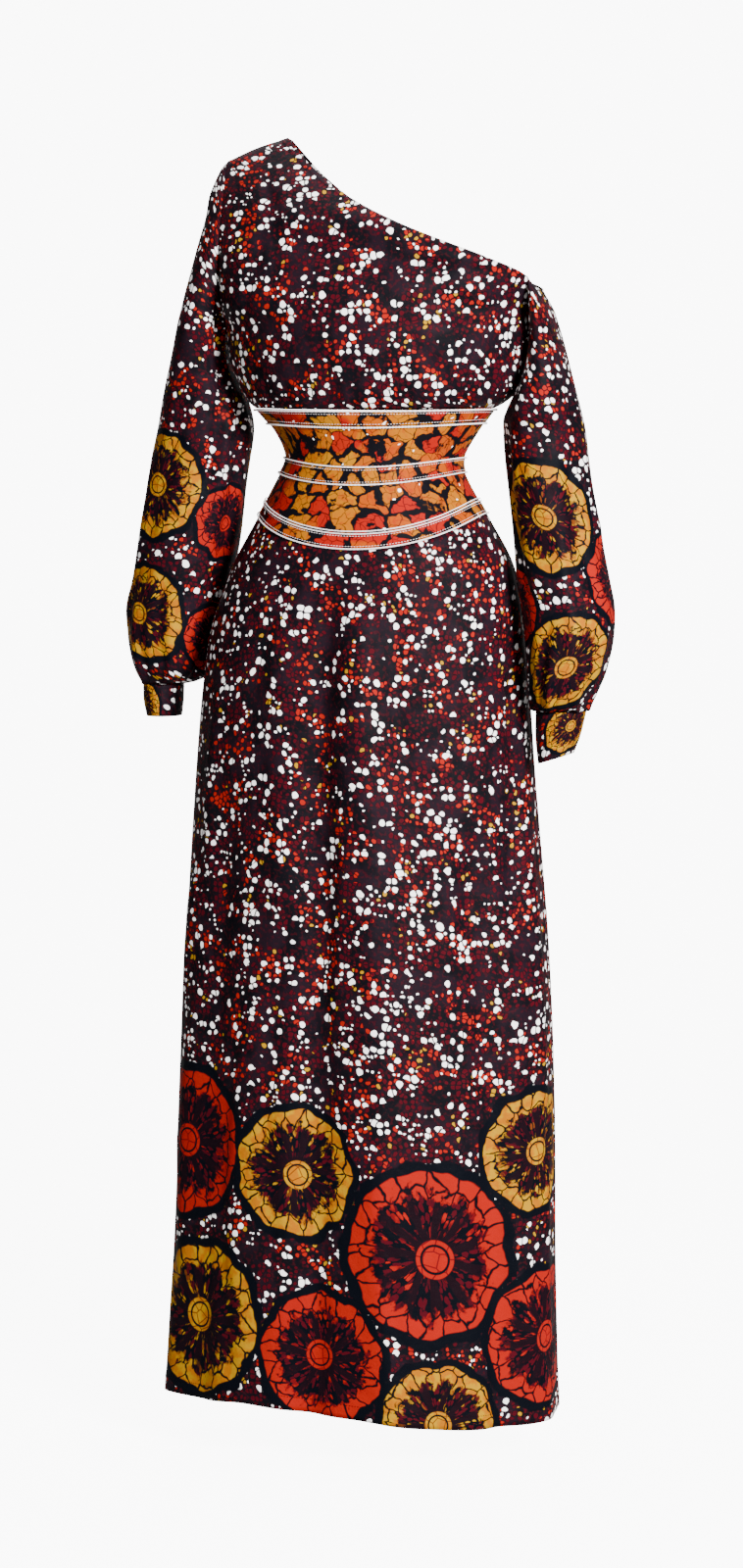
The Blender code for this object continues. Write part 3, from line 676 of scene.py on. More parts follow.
class DressColours(bpy.types.PropertyGroup):
    """Colours of the prints and trims."""

    ground: FloatVectorProperty(
        name="Ground",
        description="Slate ground of the print",
        subtype="COLOR",
        size=3,
        default=(0.0030, 0.0028, 0.0042),
    )
    plum: FloatVectorProperty(
        name="Plum",
        description="Plum clouds in the ground",
        subtype="COLOR",
        size=3,
        default=(0.0080, 0.0040, 0.0070),
    )
    maroon: FloatVectorProperty(
        name="Maroon",
        description="Maroon dots and halos",
        subtype="COLOR",
        size=3,
        default=(0.0420, 0.0020, 0.0050),
    )
    red: FloatVectorProperty(
        name="Red",
        description="Red dots and motifs",
        subtype="COLOR",
        size=3,
        default=(0.2300, 0.0062, 0.0030),
    )
    orange: FloatVectorProperty(
        name="Orange",
        description="Orange patches of the waist print",
        subtype="COLOR",
        size=3,
        default=(0.2700, 0.0460, 0.0008),
    )
    amber: FloatVectorProperty(
        name="Amber",
        description="Amber motifs and patches",
        subtype="COLOR",
        size=3,
        default=(0.2750, 0.0860, 0.0008),
    )
    yellow: FloatVectorProperty(
        name="Yellow",
        description="Yellow dots",
        subtype="COLOR",
        size=3,
        default=(0.3000, 0.1500, 0.0016),
    )
    white: FloatVectorProperty(
        name="White",
        description="Undyed pebbles of the print",
        subtype="COLOR",
        size=3,
        default=(0.930, 0.900, 0.890),
    )
    trim: FloatVectorProperty(
        name="Piping",
        description="White of the piping",
        subtype="COLOR",
        size=3,
        default=(0.76, 0.70, 0.70),
    )


class StudioSettings(bpy.types.PropertyGroup):
    """Camera and studio."""

    azimuth: FloatProperty(
        name="Azimuth",
        description="Turn of the camera towards the wearer's left",
        default=math.radians(12.0),
        subtype="ANGLE",
    )
    distance: FloatProperty(
        name="Distance",
        description="Level distance from the dress to the camera",
        default=4.6,
        unit="LENGTH",
    )
    eye_height: FloatProperty(
        name="Eye height",
        description="Height of the camera above the hem",
        default=1.058,
        unit="LENGTH",
    )
    tilt: FloatProperty(
        name="Tilt",
        description="How far the camera looks down",
        default=math.radians(4.7),
        subtype="ANGLE",
    )
    lens: FloatProperty(
        name="Lens",
        description="Focal length in millimetres, for a frame 36 mm high",
        default=96.2,
    )
    floor_drop: FloatProperty(
        name="Floor drop",
        description="Distance from the hem down to the floor",
        default=0.060,
        unit="LENGTH",
    )
    stitch_seed: IntProperty(
        name="Seed",
        description="Seed of the stitches' small turns",
        default=7,
    )


# Shapes worked out as numbers


def eased(share):
    """A step from 0 to 1 with flat ends."""
    share = np.clip(share, 0.0, 1.0)
    return share * share * (3.0 - 2.0 * share)


def read_rows(places, table, wanted):
    """Every column of a table on a smooth curve through its rows, at the wanted places."""
    places = np.asarray(places, dtype=float)
    table = np.asarray(table, dtype=float)
    wanted = np.asarray(wanted, dtype=float)
    before = np.maximum(np.arange(len(places)) - 1, 0)
    after = np.minimum(np.arange(len(places)) + 1, len(places) - 1)
    slopes = (table[after] - table[before]) / (places[after] - places[before])[:, None]
    low = np.clip(np.searchsorted(places, wanted, side="right") - 1, 0, len(places) - 2)
    high = low + 1
    span = (places[high] - places[low])[..., None]
    t = np.clip((wanted - places[low])[..., None] / span, 0.0, 1.0)
    value = (2.0 * t**3 - 3.0 * t**2 + 1.0) * table[low]
    value += (t**3 - 2.0 * t**2 + t) * slopes[low] * span
    value += (3.0 * t**2 - 2.0 * t**3) * table[high]
    value += (t**3 - t**2) * slopes[high] * span
    return value


def rows_by_length(heights, count):
    """Row numbers spread evenly over the heights of a table."""
    heights = np.asarray(heights, dtype=float)
    run = np.r_[0.0, np.cumsum(np.abs(np.diff(heights)) + ROW_LEAST)]
    return np.interp(np.linspace(0.0, run[-1], count + 1), run, np.arange(len(heights)))


def fold_offset(height, around, front):
    """How far the skirt's folds push the cloth out."""
    total = np.zeros(np.broadcast(height, around).shape)
    for fold in FOLDS:
        if fold.front != front:
            continue
        run = (fold.top_height - height) / (fold.top_height - fold.foot_height)
        centre = fold.top_around + (fold.foot_around - fold.top_around) * run
        fade = eased((fold.top_height - height) / FOLD_FADE)
        if fold.foot_height > 0.0:
            fade = fade * eased((height - fold.foot_height) / FOLD_FADE)
        total += fold.out * fade * np.exp(-(((around - centre) / fold.width) ** 2))
    return total


def trunk_points(height, around, front):
    """Points on the outside of midriff or skirt."""
    height, around = np.broadcast_arrays(height, around)
    table = [row[1:] for row in TRUNK]
    section = read_rows([row.height for row in TRUNK], table, height)
    half_width, front_depth, back_depth, centre_x = np.moveaxis(section, -1, 0)
    depth = front_depth if front else back_depth
    side = -1.0 if front else 1.0
    x = -half_width * np.cos(math.pi * around)
    y = side * depth * np.sin(math.pi * around)
    stretch = 1.0 + fold_offset(height, around, front) / np.hypot(x, y)
    return np.stack((centre_x + x * stretch, y * stretch, height), axis=-1)


def line_height(line, around, front):
    """The height of a trimmed line, which dips towards the middle."""
    dip = line.front_dip if front else line.back_dip
    return line.side_height - dip * np.sin(math.pi * around) ** 2


def trunk_outward(height, around, front):
    """Unit vectors straight out from midriff or skirt."""
    ahead = trunk_points(height, around + NORMAL_STEP, front)
    behind = trunk_points(height, around - NORMAL_STEP, front)
    above = trunk_points(height + NORMAL_STEP, around, front)
    below = trunk_points(height - NORMAL_STEP, around, front)
    normal = np.cross(ahead - behind, above - below)
    normal /= np.linalg.norm(normal, axis=-1, keepdims=True)
    here = trunk_points(height, around, front)
    facing = np.sum(normal[..., :2] * here[..., :2], axis=-1, keepdims=True)
    return np.where(facing < 0.0, -normal, normal)


def shares(count):
    """Shares round a panel, kept off both side seams."""
    return np.linspace(SIDE_SEAM_SHARE, 1.0 - SIDE_SEAM_SHARE, count + 1)


def grid_normals(grid):
    """A unit normal at each point of a grid of points."""
    normal = np.cross(np.gradient(grid, axis=1), np.gradient(grid, axis=0))
    length = np.linalg.norm(normal, axis=-1, keepdims=True)
    return normal / np.maximum(length, TINY)


def outward_normals(grid, middle_share=WHOLE_PIECE):
    """Unit normals of a grid, turned to point away from the middle line of its rows."""
    normals = grid_normals(grid)
    middle = grid.mean(axis=1, keepdims=True) * middle_share
    facing = np.sum(normals * (grid - middle), axis=-1)
    return normals if facing.mean() > 0.0 else -normals


def cloth_lengths(grid, origin_column):
    """Lengths of cloth across and up a grid, in metres."""
    across = np.linalg.norm(np.diff(grid, axis=1), axis=-1)
    u = np.concatenate((np.zeros((len(grid), 1)), np.cumsum(across, axis=1)), axis=1)
    u -= u[:, origin_column][:, None]
    rise = np.linalg.norm(np.diff(grid, axis=0), axis=-1)
    v = np.concatenate((np.zeros((1, grid.shape[1])), np.cumsum(rise, axis=0)), axis=0)
    return u, v


def bodice_lengths(grid):
    """Places on the bodice's cloth: across from the body's middle, and up its middle."""
    steps = np.hypot(np.diff(grid[..., 0], axis=1), np.diff(grid[..., 1], axis=1))
    run = np.concatenate((np.zeros((len(grid), 1)), np.cumsum(steps, axis=1)), axis=1)
    anchor = np.minimum(0.0, grid[:, -1, 0])
    before = [np.interp(x, row[:, 0], length) for x, row, length in zip(anchor, grid, run)]
    u = run - np.array(before)[:, None] + anchor[:, None]
    middle = grid[:, grid.shape[1] // 2]
    rise = np.hypot(np.diff(middle[:, 1]), np.diff(middle[:, 2]))
    profile = np.r_[0.0, np.cumsum(rise)]
    beyond = np.maximum(grid[..., 2] - middle[-1, 2], 0.0)
    return u, np.interp(grid[..., 2], middle[:, 2], profile) + beyond


def crease_offset(u, v, creases):
    """How far the listed creases push the cloth out."""
    total = np.zeros_like(u)
    for crease in creases:
        run_u = crease.end_u - crease.start_u
        run_v = crease.end_v - crease.start_v
        length = math.hypot(run_u, run_v)
        du = u - crease.start_u
        dv = v - crease.start_v
        along = (du * run_u + dv * run_v) / length
        bow = CREASE_BOW * length * np.sin(math.pi * np.clip(along / length, 0.0, 1.0))
        across = (du * run_v - dv * run_u) / length - bow
        ends = eased(along / CREASE_END) * eased((length - along) / CREASE_END)
        bend = across / crease.width
        ridge = np.exp(-(bend**2)) - CREASE_SHOULDER * np.exp(-((bend / CREASE_BED) ** 2))
        total += crease.out * ends * ridge
    return total


def gather_offset(turn, fade, gathers):
    """How far the gathers push the cloth out."""
    total = np.zeros(np.broadcast(turn, fade).shape)
    for gather in gathers:
        total = total + gather.out * np.cos(gather.waves * turn + gather.phase)
    return total * fade


def nearest_motif(u, v, motifs):
    """The motif that each place of the cloth belongs to, or -1 for none."""
    best = np.full(u.shape, -1)
    least = np.full(u.shape, MOTIF_REACH)
    for index, motif in enumerate(motifs):
        away = np.hypot(u - motif.u, v - motif.v) / motif.radius
        closer = away < least
        best[closer] = index
        least[closer] = away[closer]
    return best


# Sheets as meshes


def face_corners(grid):
    """Row and column of each corner of a grid's faces, in the order that faces outwards."""
    rows, columns = grid.shape[:2]
    facing = grid_normals(grid) * (grid - grid.mean(axis=1, keepdims=True))
    order = [0, 1, 2, 3] if facing.sum(axis=-1).mean() > 0.0 else [3, 2, 1, 0]
    row = np.repeat(np.arange(rows - 1), columns - 1)
    column = np.tile(np.arange(columns - 1), rows - 1)
    corner_rows = np.stack((row, row, row + 1, row + 1), axis=-1)[:, order]
    corner_columns = np.stack((column, column + 1, column + 1, column), axis=-1)[:, order]
    return corner_rows, corner_columns


def motif_map(u, v, motifs):
    """Each corner's place in its face's motif, with the motif's kind and number coded in."""
    chosen = nearest_motif(u.mean(axis=1), v.mean(axis=1), motifs)
    local = np.full((*u.shape, 2), NO_MOTIF)
    for index, motif in enumerate(motifs):
        inside = chosen == index
        local[inside, :, 0] = (u[inside] - motif.u) / motif.radius + MOTIF_STRIDE * motif.kind
        local[inside, :, 1] = (v[inside] - motif.v) / motif.radius + MOTIF_STRIDE * index
    return local


def add_map(mesh, name, places):
    """A UV map of a place for each corner of a mesh."""
    layer = mesh.uv_layers.new(name=name)
    layer.data.foreach_set("uv", places.ravel().astype(np.float32))


def sheet_object(name, surface, motifs, thickness, material, merge=False):
    """Cloth: a grid of outer points, given its thickness on the inside."""
    grid, u, v = surface
    corners = face_corners(grid)
    faces = corners[0] * grid.shape[1] + corners[1]
    mesh = bpy.data.meshes.new(name)
    mesh.from_pydata((grid - HANG_POINT).reshape(-1, 3).tolist(), [], faces.tolist())
    mesh.update()
    flat = np.stack((u[corners], v[corners]), axis=-1)
    piece = name.rsplit("_", 1)[0]
    add_map(mesh, "cloth", flat + PRINT_SHIFT.get(piece, (0.0, 0.0)))
    add_map(mesh, "motif", motif_map(u[corners], v[corners], motifs))
    mesh.uv_layers["cloth"].active = True
    mesh.materials.append(material)
    obj = new_object(name, mesh)
    if merge:
        merged_seam(obj)
    solid = obj.modifiers.new("thickness", "SOLIDIFY")
    solid.thickness = thickness
    solid.offset = -1.0
    plain_mesh(obj)
    obj.data.shade_smooth()
    return obj


def new_object(name, data):
    """An object at the origin, in the scene."""
    obj = bpy.data.objects.new(name, data)
    bpy.context.scene.collection.objects.link(obj)
    return obj


def evaluated_mesh(obj):
    """A new plain mesh of an object as its modifiers leave it."""
    bpy.context.view_layer.update()
    evaluated = obj.evaluated_get(bpy.context.evaluated_depsgraph_get())
    return bpy.data.meshes.new_from_object(evaluated)


def plain_mesh(obj):
    """Apply an object's modifiers and leave a plain mesh."""
    made = evaluated_mesh(obj)
    obj.modifiers.clear()
    old = obj.data
    obj.data = made
    made.name = obj.name
    if old.users == 0:
        bpy.data.meshes.remove(old)


# Nodes


def node(tree, kind, **settings):
    """Add a node with its settings."""
    made = tree.nodes.new(kind)
    for name, value in settings.items():
        setattr(made, name, value)
    return made


def feed(tree, socket, value):
    """Link an output to a socket, or set the socket to a constant."""
    if isinstance(value, bpy.types.NodeSocket):
        tree.links.new(value, socket)
    else:
        socket.default_value = value


def calc(tree, operation, *values):
    """A math node of one, two or three values."""
    made = node(tree, "ShaderNodeMath", operation=operation)
    for socket, value in zip(made.inputs, values):
        feed(tree, socket, value)
    return made.outputs["Value"]


def plus(tree, first, second):
    """A sum of two numbers."""
    return calc(tree, "ADD", first, second)


def minus(tree, first, second):
    """One number less another."""
    return calc(tree, "SUBTRACT", first, second)


def times(tree, first, second):
    """A product of two numbers."""
    return calc(tree, "MULTIPLY", first, second)


def swing(tree, share, reach):
    """A share from 0 to 1 as a push either way, half the reach at most."""
    return times(tree, minus(tree, share, 0.5), reach)


def vector_calc(tree, operation, *values):
    """A vector math node that gives a vector."""
    made = node(tree, "ShaderNodeVectorMath", operation=operation)
    for socket, value in zip(made.inputs, values):
        feed(tree, socket, value)
    return made.outputs["Vector"]


def scaled(tree, vector, factor):
    """A vector times one number."""
    made = node(tree, "ShaderNodeVectorMath", operation="SCALE")
    feed(tree, made.inputs["Vector"], vector)
    feed(tree, made.inputs["Scale"], factor)
    return made.outputs["Vector"]


def joined(tree, x, y, z=0.0):
    """A vector of three numbers."""
    made = node(tree, "ShaderNodeCombineXYZ")
    for socket, value in zip(made.inputs, (x, y, z)):
        feed(tree, socket, value)
    return made.outputs["Vector"]


def length_of(tree, vector):
    """The length of a vector."""
    made = node(tree, "ShaderNodeVectorMath", operation="LENGTH")
    feed(tree, made.inputs["Vector"], vector)
    return made.outputs["Value"]


def step(tree, value, start, end):
    """A soft step of a value, 0 at start and 1 at end."""
    made = node(tree, "ShaderNodeMapRange", interpolation_type="SMOOTHSTEP")
    feed(tree, made.inputs["Value"], value)
    feed(tree, made.inputs["From Min"], start)
    feed(tree, made.inputs["From Max"], end)
    return made.outputs["Result"]


def fall(tree, value, start, end):
    """A soft step of a value, 1 at start and 0 at end."""
    return minus(tree, 1.0, step(tree, value, start, end))


def mixed(tree, share, first, second):
    """A mix of two colours."""
    made = node(tree, "ShaderNodeMix", data_type="RGBA")
    feed(tree, made.inputs[0], share)
    feed(tree, made.inputs[6], first)
    feed(tree, made.inputs[7], second)
    return made.outputs[2]


def noise_outputs(tree, vector, scale, detail, roughness, dimensions="2D"):
    """The outputs of a noise texture, flat unless it is told otherwise."""
    made = node(tree, "ShaderNodeTexNoise", noise_dimensions=dimensions)
    feed(tree, made.inputs["Vector"], vector)
    feed(tree, made.inputs["Scale"], scale)
    feed(tree, made.inputs["Detail"], detail)
    feed(tree, made.inputs["Roughness"], roughness)
    return made.outputs


def noise(tree, vector, scale, detail=2.0, roughness=0.5):
    """The value of a flat noise texture."""
    return noise_outputs(tree, vector, scale, detail, roughness)["Fac"]


def cells(tree, vector, scale, feature="F1", randomness=1.0):
    """A flat Voronoi texture."""
    made = node(tree, "ShaderNodeTexVoronoi", voronoi_dimensions="2D", feature=feature)
    feed(tree, made.inputs["Vector"], vector)
    feed(tree, made.inputs["Scale"], scale)
    feed(tree, made.inputs["Randomness"], randomness)
    return made


def cell_edge(tree, vector, scale, randomness=1.0):
    """How far a place is from the nearest edge between a flat Voronoi texture's cells."""
    return cells(tree, vector, scale, "DISTANCE_TO_EDGE", randomness).outputs["Distance"]


def noise_patches(tree, place, patch):
    """A mask of soft-edged patches of noise."""
    value = noise(tree, place, patch.rate, patch.detail, patch.roughness)
    return step(tree, value, patch.start, patch.end)


def specks(tree, place, scale, speck):
    """A mask of round specks, one in each cell, and a mask of those cells to keep."""
    field = cells(tree, place, scale)
    pick, size, _ = parts(tree, field.outputs["Color"])
    edge = calc(tree, "MULTIPLY_ADD", size, speck.spread, speck.least)
    mask = fall(tree, field.outputs["Distance"], edge, plus(tree, edge, speck.soft))
    return mask, calc(tree, "LESS_THAN", pick, speck.keep)


def warped(tree, vector, scale, reach):
    """A vector pushed about by noise."""
    push = noise_outputs(tree, vector, scale, 2.0, 0.5)["Color"]
    push = vector_calc(tree, "SUBTRACT", push, (0.5, 0.5, 0.5))
    return vector_calc(tree, "ADD", vector, scaled(tree, push, reach))


def parts(tree, colour):
    """The three numbers of a colour or vector."""
    made = node(tree, "ShaderNodeSeparateXYZ")
    feed(tree, made.inputs["Vector"], colour)
    return made.outputs["X"], made.outputs["Y"], made.outputs["Z"]


def new_group(name, place, numbers, colours, results):
    """A shader node group that takes a place, numbers and colours, with its input and output."""
    tree = bpy.data.node_groups.new(name, "ShaderNodeTree")
    face = tree.interface
    face.new_socket(place, in_out="INPUT", socket_type="NodeSocketVector")
    for label, value in numbers.items():
        socket = face.new_socket(label, in_out="INPUT", socket_type="NodeSocketFloat")
        socket.default_value = value
    for label in colours:
        face.new_socket(label, in_out="INPUT", socket_type="NodeSocketColor")
    for label, kind in results.items():
        face.new_socket(label, in_out="OUTPUT", socket_type=f"NodeSocket{kind}")
    return tree, node(tree, "NodeGroupInput").outputs, node(tree, "NodeGroupOutput").inputs


def placed(tree, group, **values):
    """A group node with its inputs fed, named with underscores for spaces."""
    made = node(tree, "ShaderNodeGroup")
    made.node_tree = group
    for name, value in values.items():
        feed(tree, made.inputs[name.replace("_", " ")], value)
    return made.outputs


# Prints


def dots_group():
    """Scattered round dots: how far inside one a place is, its rim, and its own random colour."""
    tree, take, give = new_group(
        "Scattered dots",
        "Cloth",
        {
            "Spacing": 0.008,
            "Keep": 0.4,
            "Cluster size": 0.06,
            "Least": 0.2,
            "Most": 0.4,
            "Rim": 0.12,
        },
        (),
        {"Dot": "Float", "Rim": "Float", "Random": "Vector"},
    )
    scale = calc(tree, "DIVIDE", 1.0, take["Spacing"])
    field = cells(tree, take["Cloth"], scale, randomness=DOT_SCATTER)
    random = field.outputs["Color"]
    size, chance, _ = parts(tree, random)
    cluster_scale = calc(tree, "DIVIDE", 1.0, take["Cluster size"])
    cluster = noise(tree, scaled(tree, field.outputs["Position"], cluster_scale), 1.0)
    crowd = times(tree, step(tree, cluster, 0.36, 0.62), DOT_CROWDING)
    limit = times(tree, crowd, take["Keep"])
    kept = calc(tree, "LESS_THAN", chance, limit)
    span = minus(tree, take["Most"], take["Least"])
    radius = calc(tree, "MULTIPLY_ADD", size, span, take["Least"])
    inner = minus(tree, radius, DOT_SOFTNESS)
    outer = plus(tree, radius, DOT_SOFTNESS)
    dot = times(tree, fall(tree, field.outputs["Distance"], inner, outer), kept)
    edge = cell_edge(tree, take["Cloth"], scale, DOT_SCATTER)
    dot = times(tree, dot, step(tree, edge, 0.055, 0.105))
    rim_outer = plus(tree, outer, take["Rim"])
    rim = times(tree, fall(tree, field.outputs["Distance"], outer, rim_outer), kept)
    feed(tree, give["Dot"], dot)
    feed(tree, give["Rim"], rim)
    feed(tree, give["Random"], random)
    return tree


def scattered(tree, dots, kind, cloth, pebble):
    """One kind of dots, laid over the cloth at its own share of the pebbles' spacing."""
    return placed(
        tree,
        dots,
        Cloth=vector_calc(tree, "ADD", cloth, kind.shift),
        Spacing=times(tree, pebble, kind.spacing_share),
        Keep=kind.keep,
        Cluster_size=kind.cluster_size,
        Least=kind.least,
        Most=kind.most,
        Rim=kind.rim,
    )


def ground_group(dots):
    """The pebbled ground of the wax print."""
    tree, take, give = new_group(
        "Pebbled ground",
        "Cloth",
        {"Pebble": 0.0088},
        ("Ground", "Plum", "Maroon", "Red", "Yellow", "White"),
        {"Colour": "Color"},
    )
    cloth = warped(tree, take["Cloth"], *GROUND_WARP)
    clouds = noise_patches(tree, take["Cloth"], CLOUDS)
    colour = mixed(tree, clouds, take["Ground"], take["Plum"])
    flecks = times(tree, noise_patches(tree, take["Cloth"], FLECKS), FLECK_SHARE)
    colour = mixed(tree, flecks, colour, take["Maroon"])

    small = scattered(tree, dots, COLOURED_DOTS, cloth, take["Pebble"])
    _, _, pick = parts(tree, small["Random"])
    red_share = times(tree, noise_patches(tree, take["Cloth"], RED_PLACES), RED_SHARE)
    is_red = calc(tree, "LESS_THAN", pick, red_share)
    dot_colour = mixed(tree, is_red, take["Maroon"], take["Red"])
    golden = noise_patches(tree, take["Cloth"], GOLDEN_PLACES)
    is_yellow = calc(tree, "GREATER_THAN", pick, fall(tree, golden, *YELLOW_FALL))
    dot_colour = mixed(tree, is_yellow, dot_colour, take["Yellow"])
    colour = mixed(tree, small["Rim"], colour, take["Ground"])
    colour = mixed(tree, small["Dot"], colour, dot_colour)

    for undyed in (TINY_DOTS, LARGE_DOTS):
        pebbles = scattered(tree, dots, undyed, cloth, take["Pebble"])
        colour = mixed(tree, pebbles["Rim"], colour, take["Ground"])
        colour = mixed(tree, pebbles["Dot"], colour, take["White"])
    feed(tree, give["Colour"], colour)
    return tree


def motif_place(tree, coded):
    """A place in its own motif, whose edge lies at 1, with the motif's kind and number."""
    x, y, _ = parts(tree, coded)
    kind = calc(tree, "ROUND", calc(tree, "DIVIDE", x, MOTIF_STRIDE))
    number = calc(tree, "ROUND", calc(tree, "DIVIDE", y, MOTIF_STRIDE))
    x = minus(tree, x, times(tree, kind, MOTIF_STRIDE))
    y = minus(tree, y, times(tree, number, MOTIF_STRIDE))
    return x, y, kind, number


def unrolled(tree, turned, radius, size, shift):
    """A place in a motif laid out flat: round it and outwards, each times its own size."""
    flat = joined(tree, times(tree, turned, size[0]), times(tree, radius, size[1]))
    return vector_calc(tree, "ADD", flat, shift)


def motif_net(tree, place, dull, lively, ground):
    """The dark net between rim and middle, with long dull or lively specks in it."""
    mask, is_lively = specks(tree, warped(tree, place, 1.3, 0.7), 1.0, MOTIF_SPECKS)
    return mixed(tree, mask, ground, mixed(tree, is_lively, dull, lively))


def motif_rays(tree, turned, ripple, inner):
    """A mask of the dark middle and of the rays that leave it."""
    bent = plus(tree, times(tree, turned, MOTIF_RAYS), times(tree, ripple, RAY_BEND))
    ray = step(tree, calc(tree, "COSINE", bent), 0.05, 0.45)
    ray = times(tree, ray, fall(tree, inner, *RAY_END))
    return calc(tree, "MAXIMUM", ray, fall(tree, inner, *MIDDLE_END))


def motif_eye(tree, own, radius, colour, deep, ground):
    """The colour of the round eye, with its ring and its cracks."""
    crack = fall(tree, cell_edge(tree, own, 6.0, 0.8), 0.02, 0.07)
    from_ring = calc(tree, "ABSOLUTE", minus(tree, radius, EYE_RING))
    ring = fall(tree, from_ring, 0.010, 0.020)
    return mixed(tree, ring, mixed(tree, crack, colour, deep), ground)


def rosette_group():
    """A round scalloped motif, and how far it covers the ground."""
    tree, take, give = new_group(
        "Round motif",
        "Place",
        {},
        ("Ground", "Maroon", "Red", "Amber", "Yellow"),
        {"Colour": "Color", "Cover": "Float"},
    )
    x, y, kind, number = motif_place(tree, take["Place"])
    place = joined(tree, x, y)
    own = vector_calc(tree, "ADD", place, scaled(tree, MOTIF_NOISE_STEP, number))
    turned = plus(tree, calc(tree, "ARCTAN2", y, x), number)
    ripple = swing(tree, noise(tree, own, 2.3), EDGE_RIPPLE)
    lobes = times(tree, calc(tree, "COSINE", times(tree, turned, MOTIF_LOBES)), LOBE_DEPTH)
    radius = plus(tree, length_of(tree, place), plus(tree, ripple, lobes))
    shift = scaled(tree, MOTIF_CRACK_STEP, number)
    polar = warped(tree, unrolled(tree, turned, radius, (3.6, 3.4), shift), 1.1, 0.55)

    is_red = step(tree, kind, 0.4, 0.6)
    bright = mixed(tree, is_red, take["Yellow"], take["Red"])
    middle = mixed(tree, is_red, take["Amber"], take["Red"])
    deep = mixed(tree, 0.75, middle, take["Maroon"])
    patchy = step(tree, noise(tree, own, 5.0), 0.40, 0.62)
    patches = mixed(tree, patchy, middle, bright)

    crack = fall(tree, cell_edge(tree, polar, 1.0, 0.85), 0.030, 0.085)
    rim = mixed(tree, crack, patches, take["Ground"])
    inner = plus(tree, radius, swing(tree, noise(tree, polar, 1.6, 3.0, 0.6), RIM_RAGGED))
    streaks = unrolled(tree, turned, radius, (8.5, 8.0), shift)
    lively = mixed(tree, patchy, deep, bright)
    net = motif_net(tree, streaks, take["Maroon"], lively, take["Ground"])
    colour = mixed(tree, step(tree, inner, *RIM_START), net, rim)

    dark = mixed(tree, 0.10, take["Ground"], take["Maroon"])
    colour = mixed(tree, motif_rays(tree, turned, ripple, inner), colour, dark)

    off_centre = scaled(tree, EYE_OFF_CENTRE, calc(tree, "SINE", number))
    eye_radius = length_of(tree, vector_calc(tree, "SUBTRACT", place, off_centre))
    eye = motif_eye(tree, own, eye_radius, patches, deep, take["Ground"])
    colour = mixed(tree, fall(tree, eye_radius, *EYE_EDGE), colour, eye)

    colour = mixed(tree, fall(tree, radius, *MOTIF_EDGE), take["Ground"], colour)
    wander = swing(tree, noise(tree, own, 3.4), BORDER_WANDER)
    cover = fall(tree, plus(tree, radius, wander), *BORDER_END)
    feed(tree, give["Colour"], colour)
    feed(tree, give["Cover"], cover)
    return tree


def waist_group():
    """The amber, orange and red patches of the waist print, veined in slate."""
    tree, take, give = new_group(
        "Veined patches",
        "Cloth",
        {"Patch": 0.021},
        ("Ground", "Red", "Orange", "Amber", "Yellow", "White"),
        {"Colour": "Color"},
    )
    scale = calc(tree, "DIVIDE", 1.0, take["Patch"])
    cloth = warped(tree, take["Cloth"], *WAIST_WARP)
    stretched = vector_calc(tree, "MULTIPLY", cloth, WAIST_STRETCH)
    pick, tint, _ = parts(tree, cells(tree, stretched, scale).outputs["Color"])
    broad = minus(tree, noise(tree, take["Cloth"], WARM_RATE), 0.5)
    warm = calc(tree, "MULTIPLY_ADD", broad, WARM_REACH, pick)
    colour = mixed(tree, step(tree, warm, *ORANGE_START), take["Red"], take["Orange"])
    colour = mixed(tree, step(tree, warm, *AMBER_START), colour, take["Amber"])
    golden = times(tree, step(tree, tint, *GOLDEN_START), GOLDEN_SHARE)
    colour = mixed(tree, golden, colour, take["Yellow"])
    mottle = times(tree, noise_patches(tree, cloth, MOTTLE), MOTTLE_SHARE)
    colour = mixed(tree, mottle, colour, take["Red"])

    crack_place = vector_calc(tree, "ADD", cloth, CRACK_SHIFT)
    crack = fall(tree, cell_edge(tree, crack_place, times(tree, scale, CRACK_RATE)), *CRACK_WIDTH)
    colour = mixed(tree, times(tree, crack, CRACK_SHARE), colour, take["Ground"])
    width = times(tree, noise_patches(tree, take["Cloth"], THICK_VEINS), VEIN_MOST)
    edge = cell_edge(tree, stretched, scale)
    vein = fall(tree, edge, width, plus(tree, width, VEIN_SOFTNESS))
    colour = mixed(tree, vein, colour, take["Ground"])
    colour = mixed(tree, noise_patches(tree, take["Cloth"], BLOTS), colour, take["Ground"])

    speck_scale = times(tree, scale, WAIST_SPECK_RATE)
    mask, kept = specks(tree, cloth, speck_scale, WAIST_SPECKS)
    colour = mixed(tree, times(tree, mask, kept), colour, take["White"])
    feed(tree, give["Colour"], colour)
    return tree


def weave_group():
    """Threads and small crumples of cotton, as a height."""
    tree, take, give = new_group(
        "Cotton surface",
        "Cloth",
        {"Thread": 0.0006},
        (),
        {"Height": "Float", "Wear": "Float"},
    )
    x, y, _ = parts(tree, take["Cloth"])
    rate = calc(tree, "DIVIDE", 2.0 * math.pi, take["Thread"])
    warp = calc(tree, "SINE", times(tree, x, rate))
    weft = calc(tree, "SINE", times(tree, y, rate))
    threads = times(tree, times(tree, warp, weft), THREAD_HEIGHT)
    crumple = noise(tree, take["Cloth"], 42.0, 3.0, 0.55)
    broad = times(tree, crumple, BROAD_CRUMPLE)
    small = noise(tree, take["Cloth"], 190.0, 2.0)
    fine = times(tree, small, SMALL_CRUMPLE)
    height = plus(tree, threads, plus(tree, broad, fine))
    feed(tree, give["Height"], height)
    feed(tree, give["Wear"], crumple)
    return tree


# Materials


def dyes(colours, *names):
    """Stored colours with their alpha, under the names of a group's inputs."""
    return {name.capitalize(): (*getattr(colours, name), 1.0) for name in names}


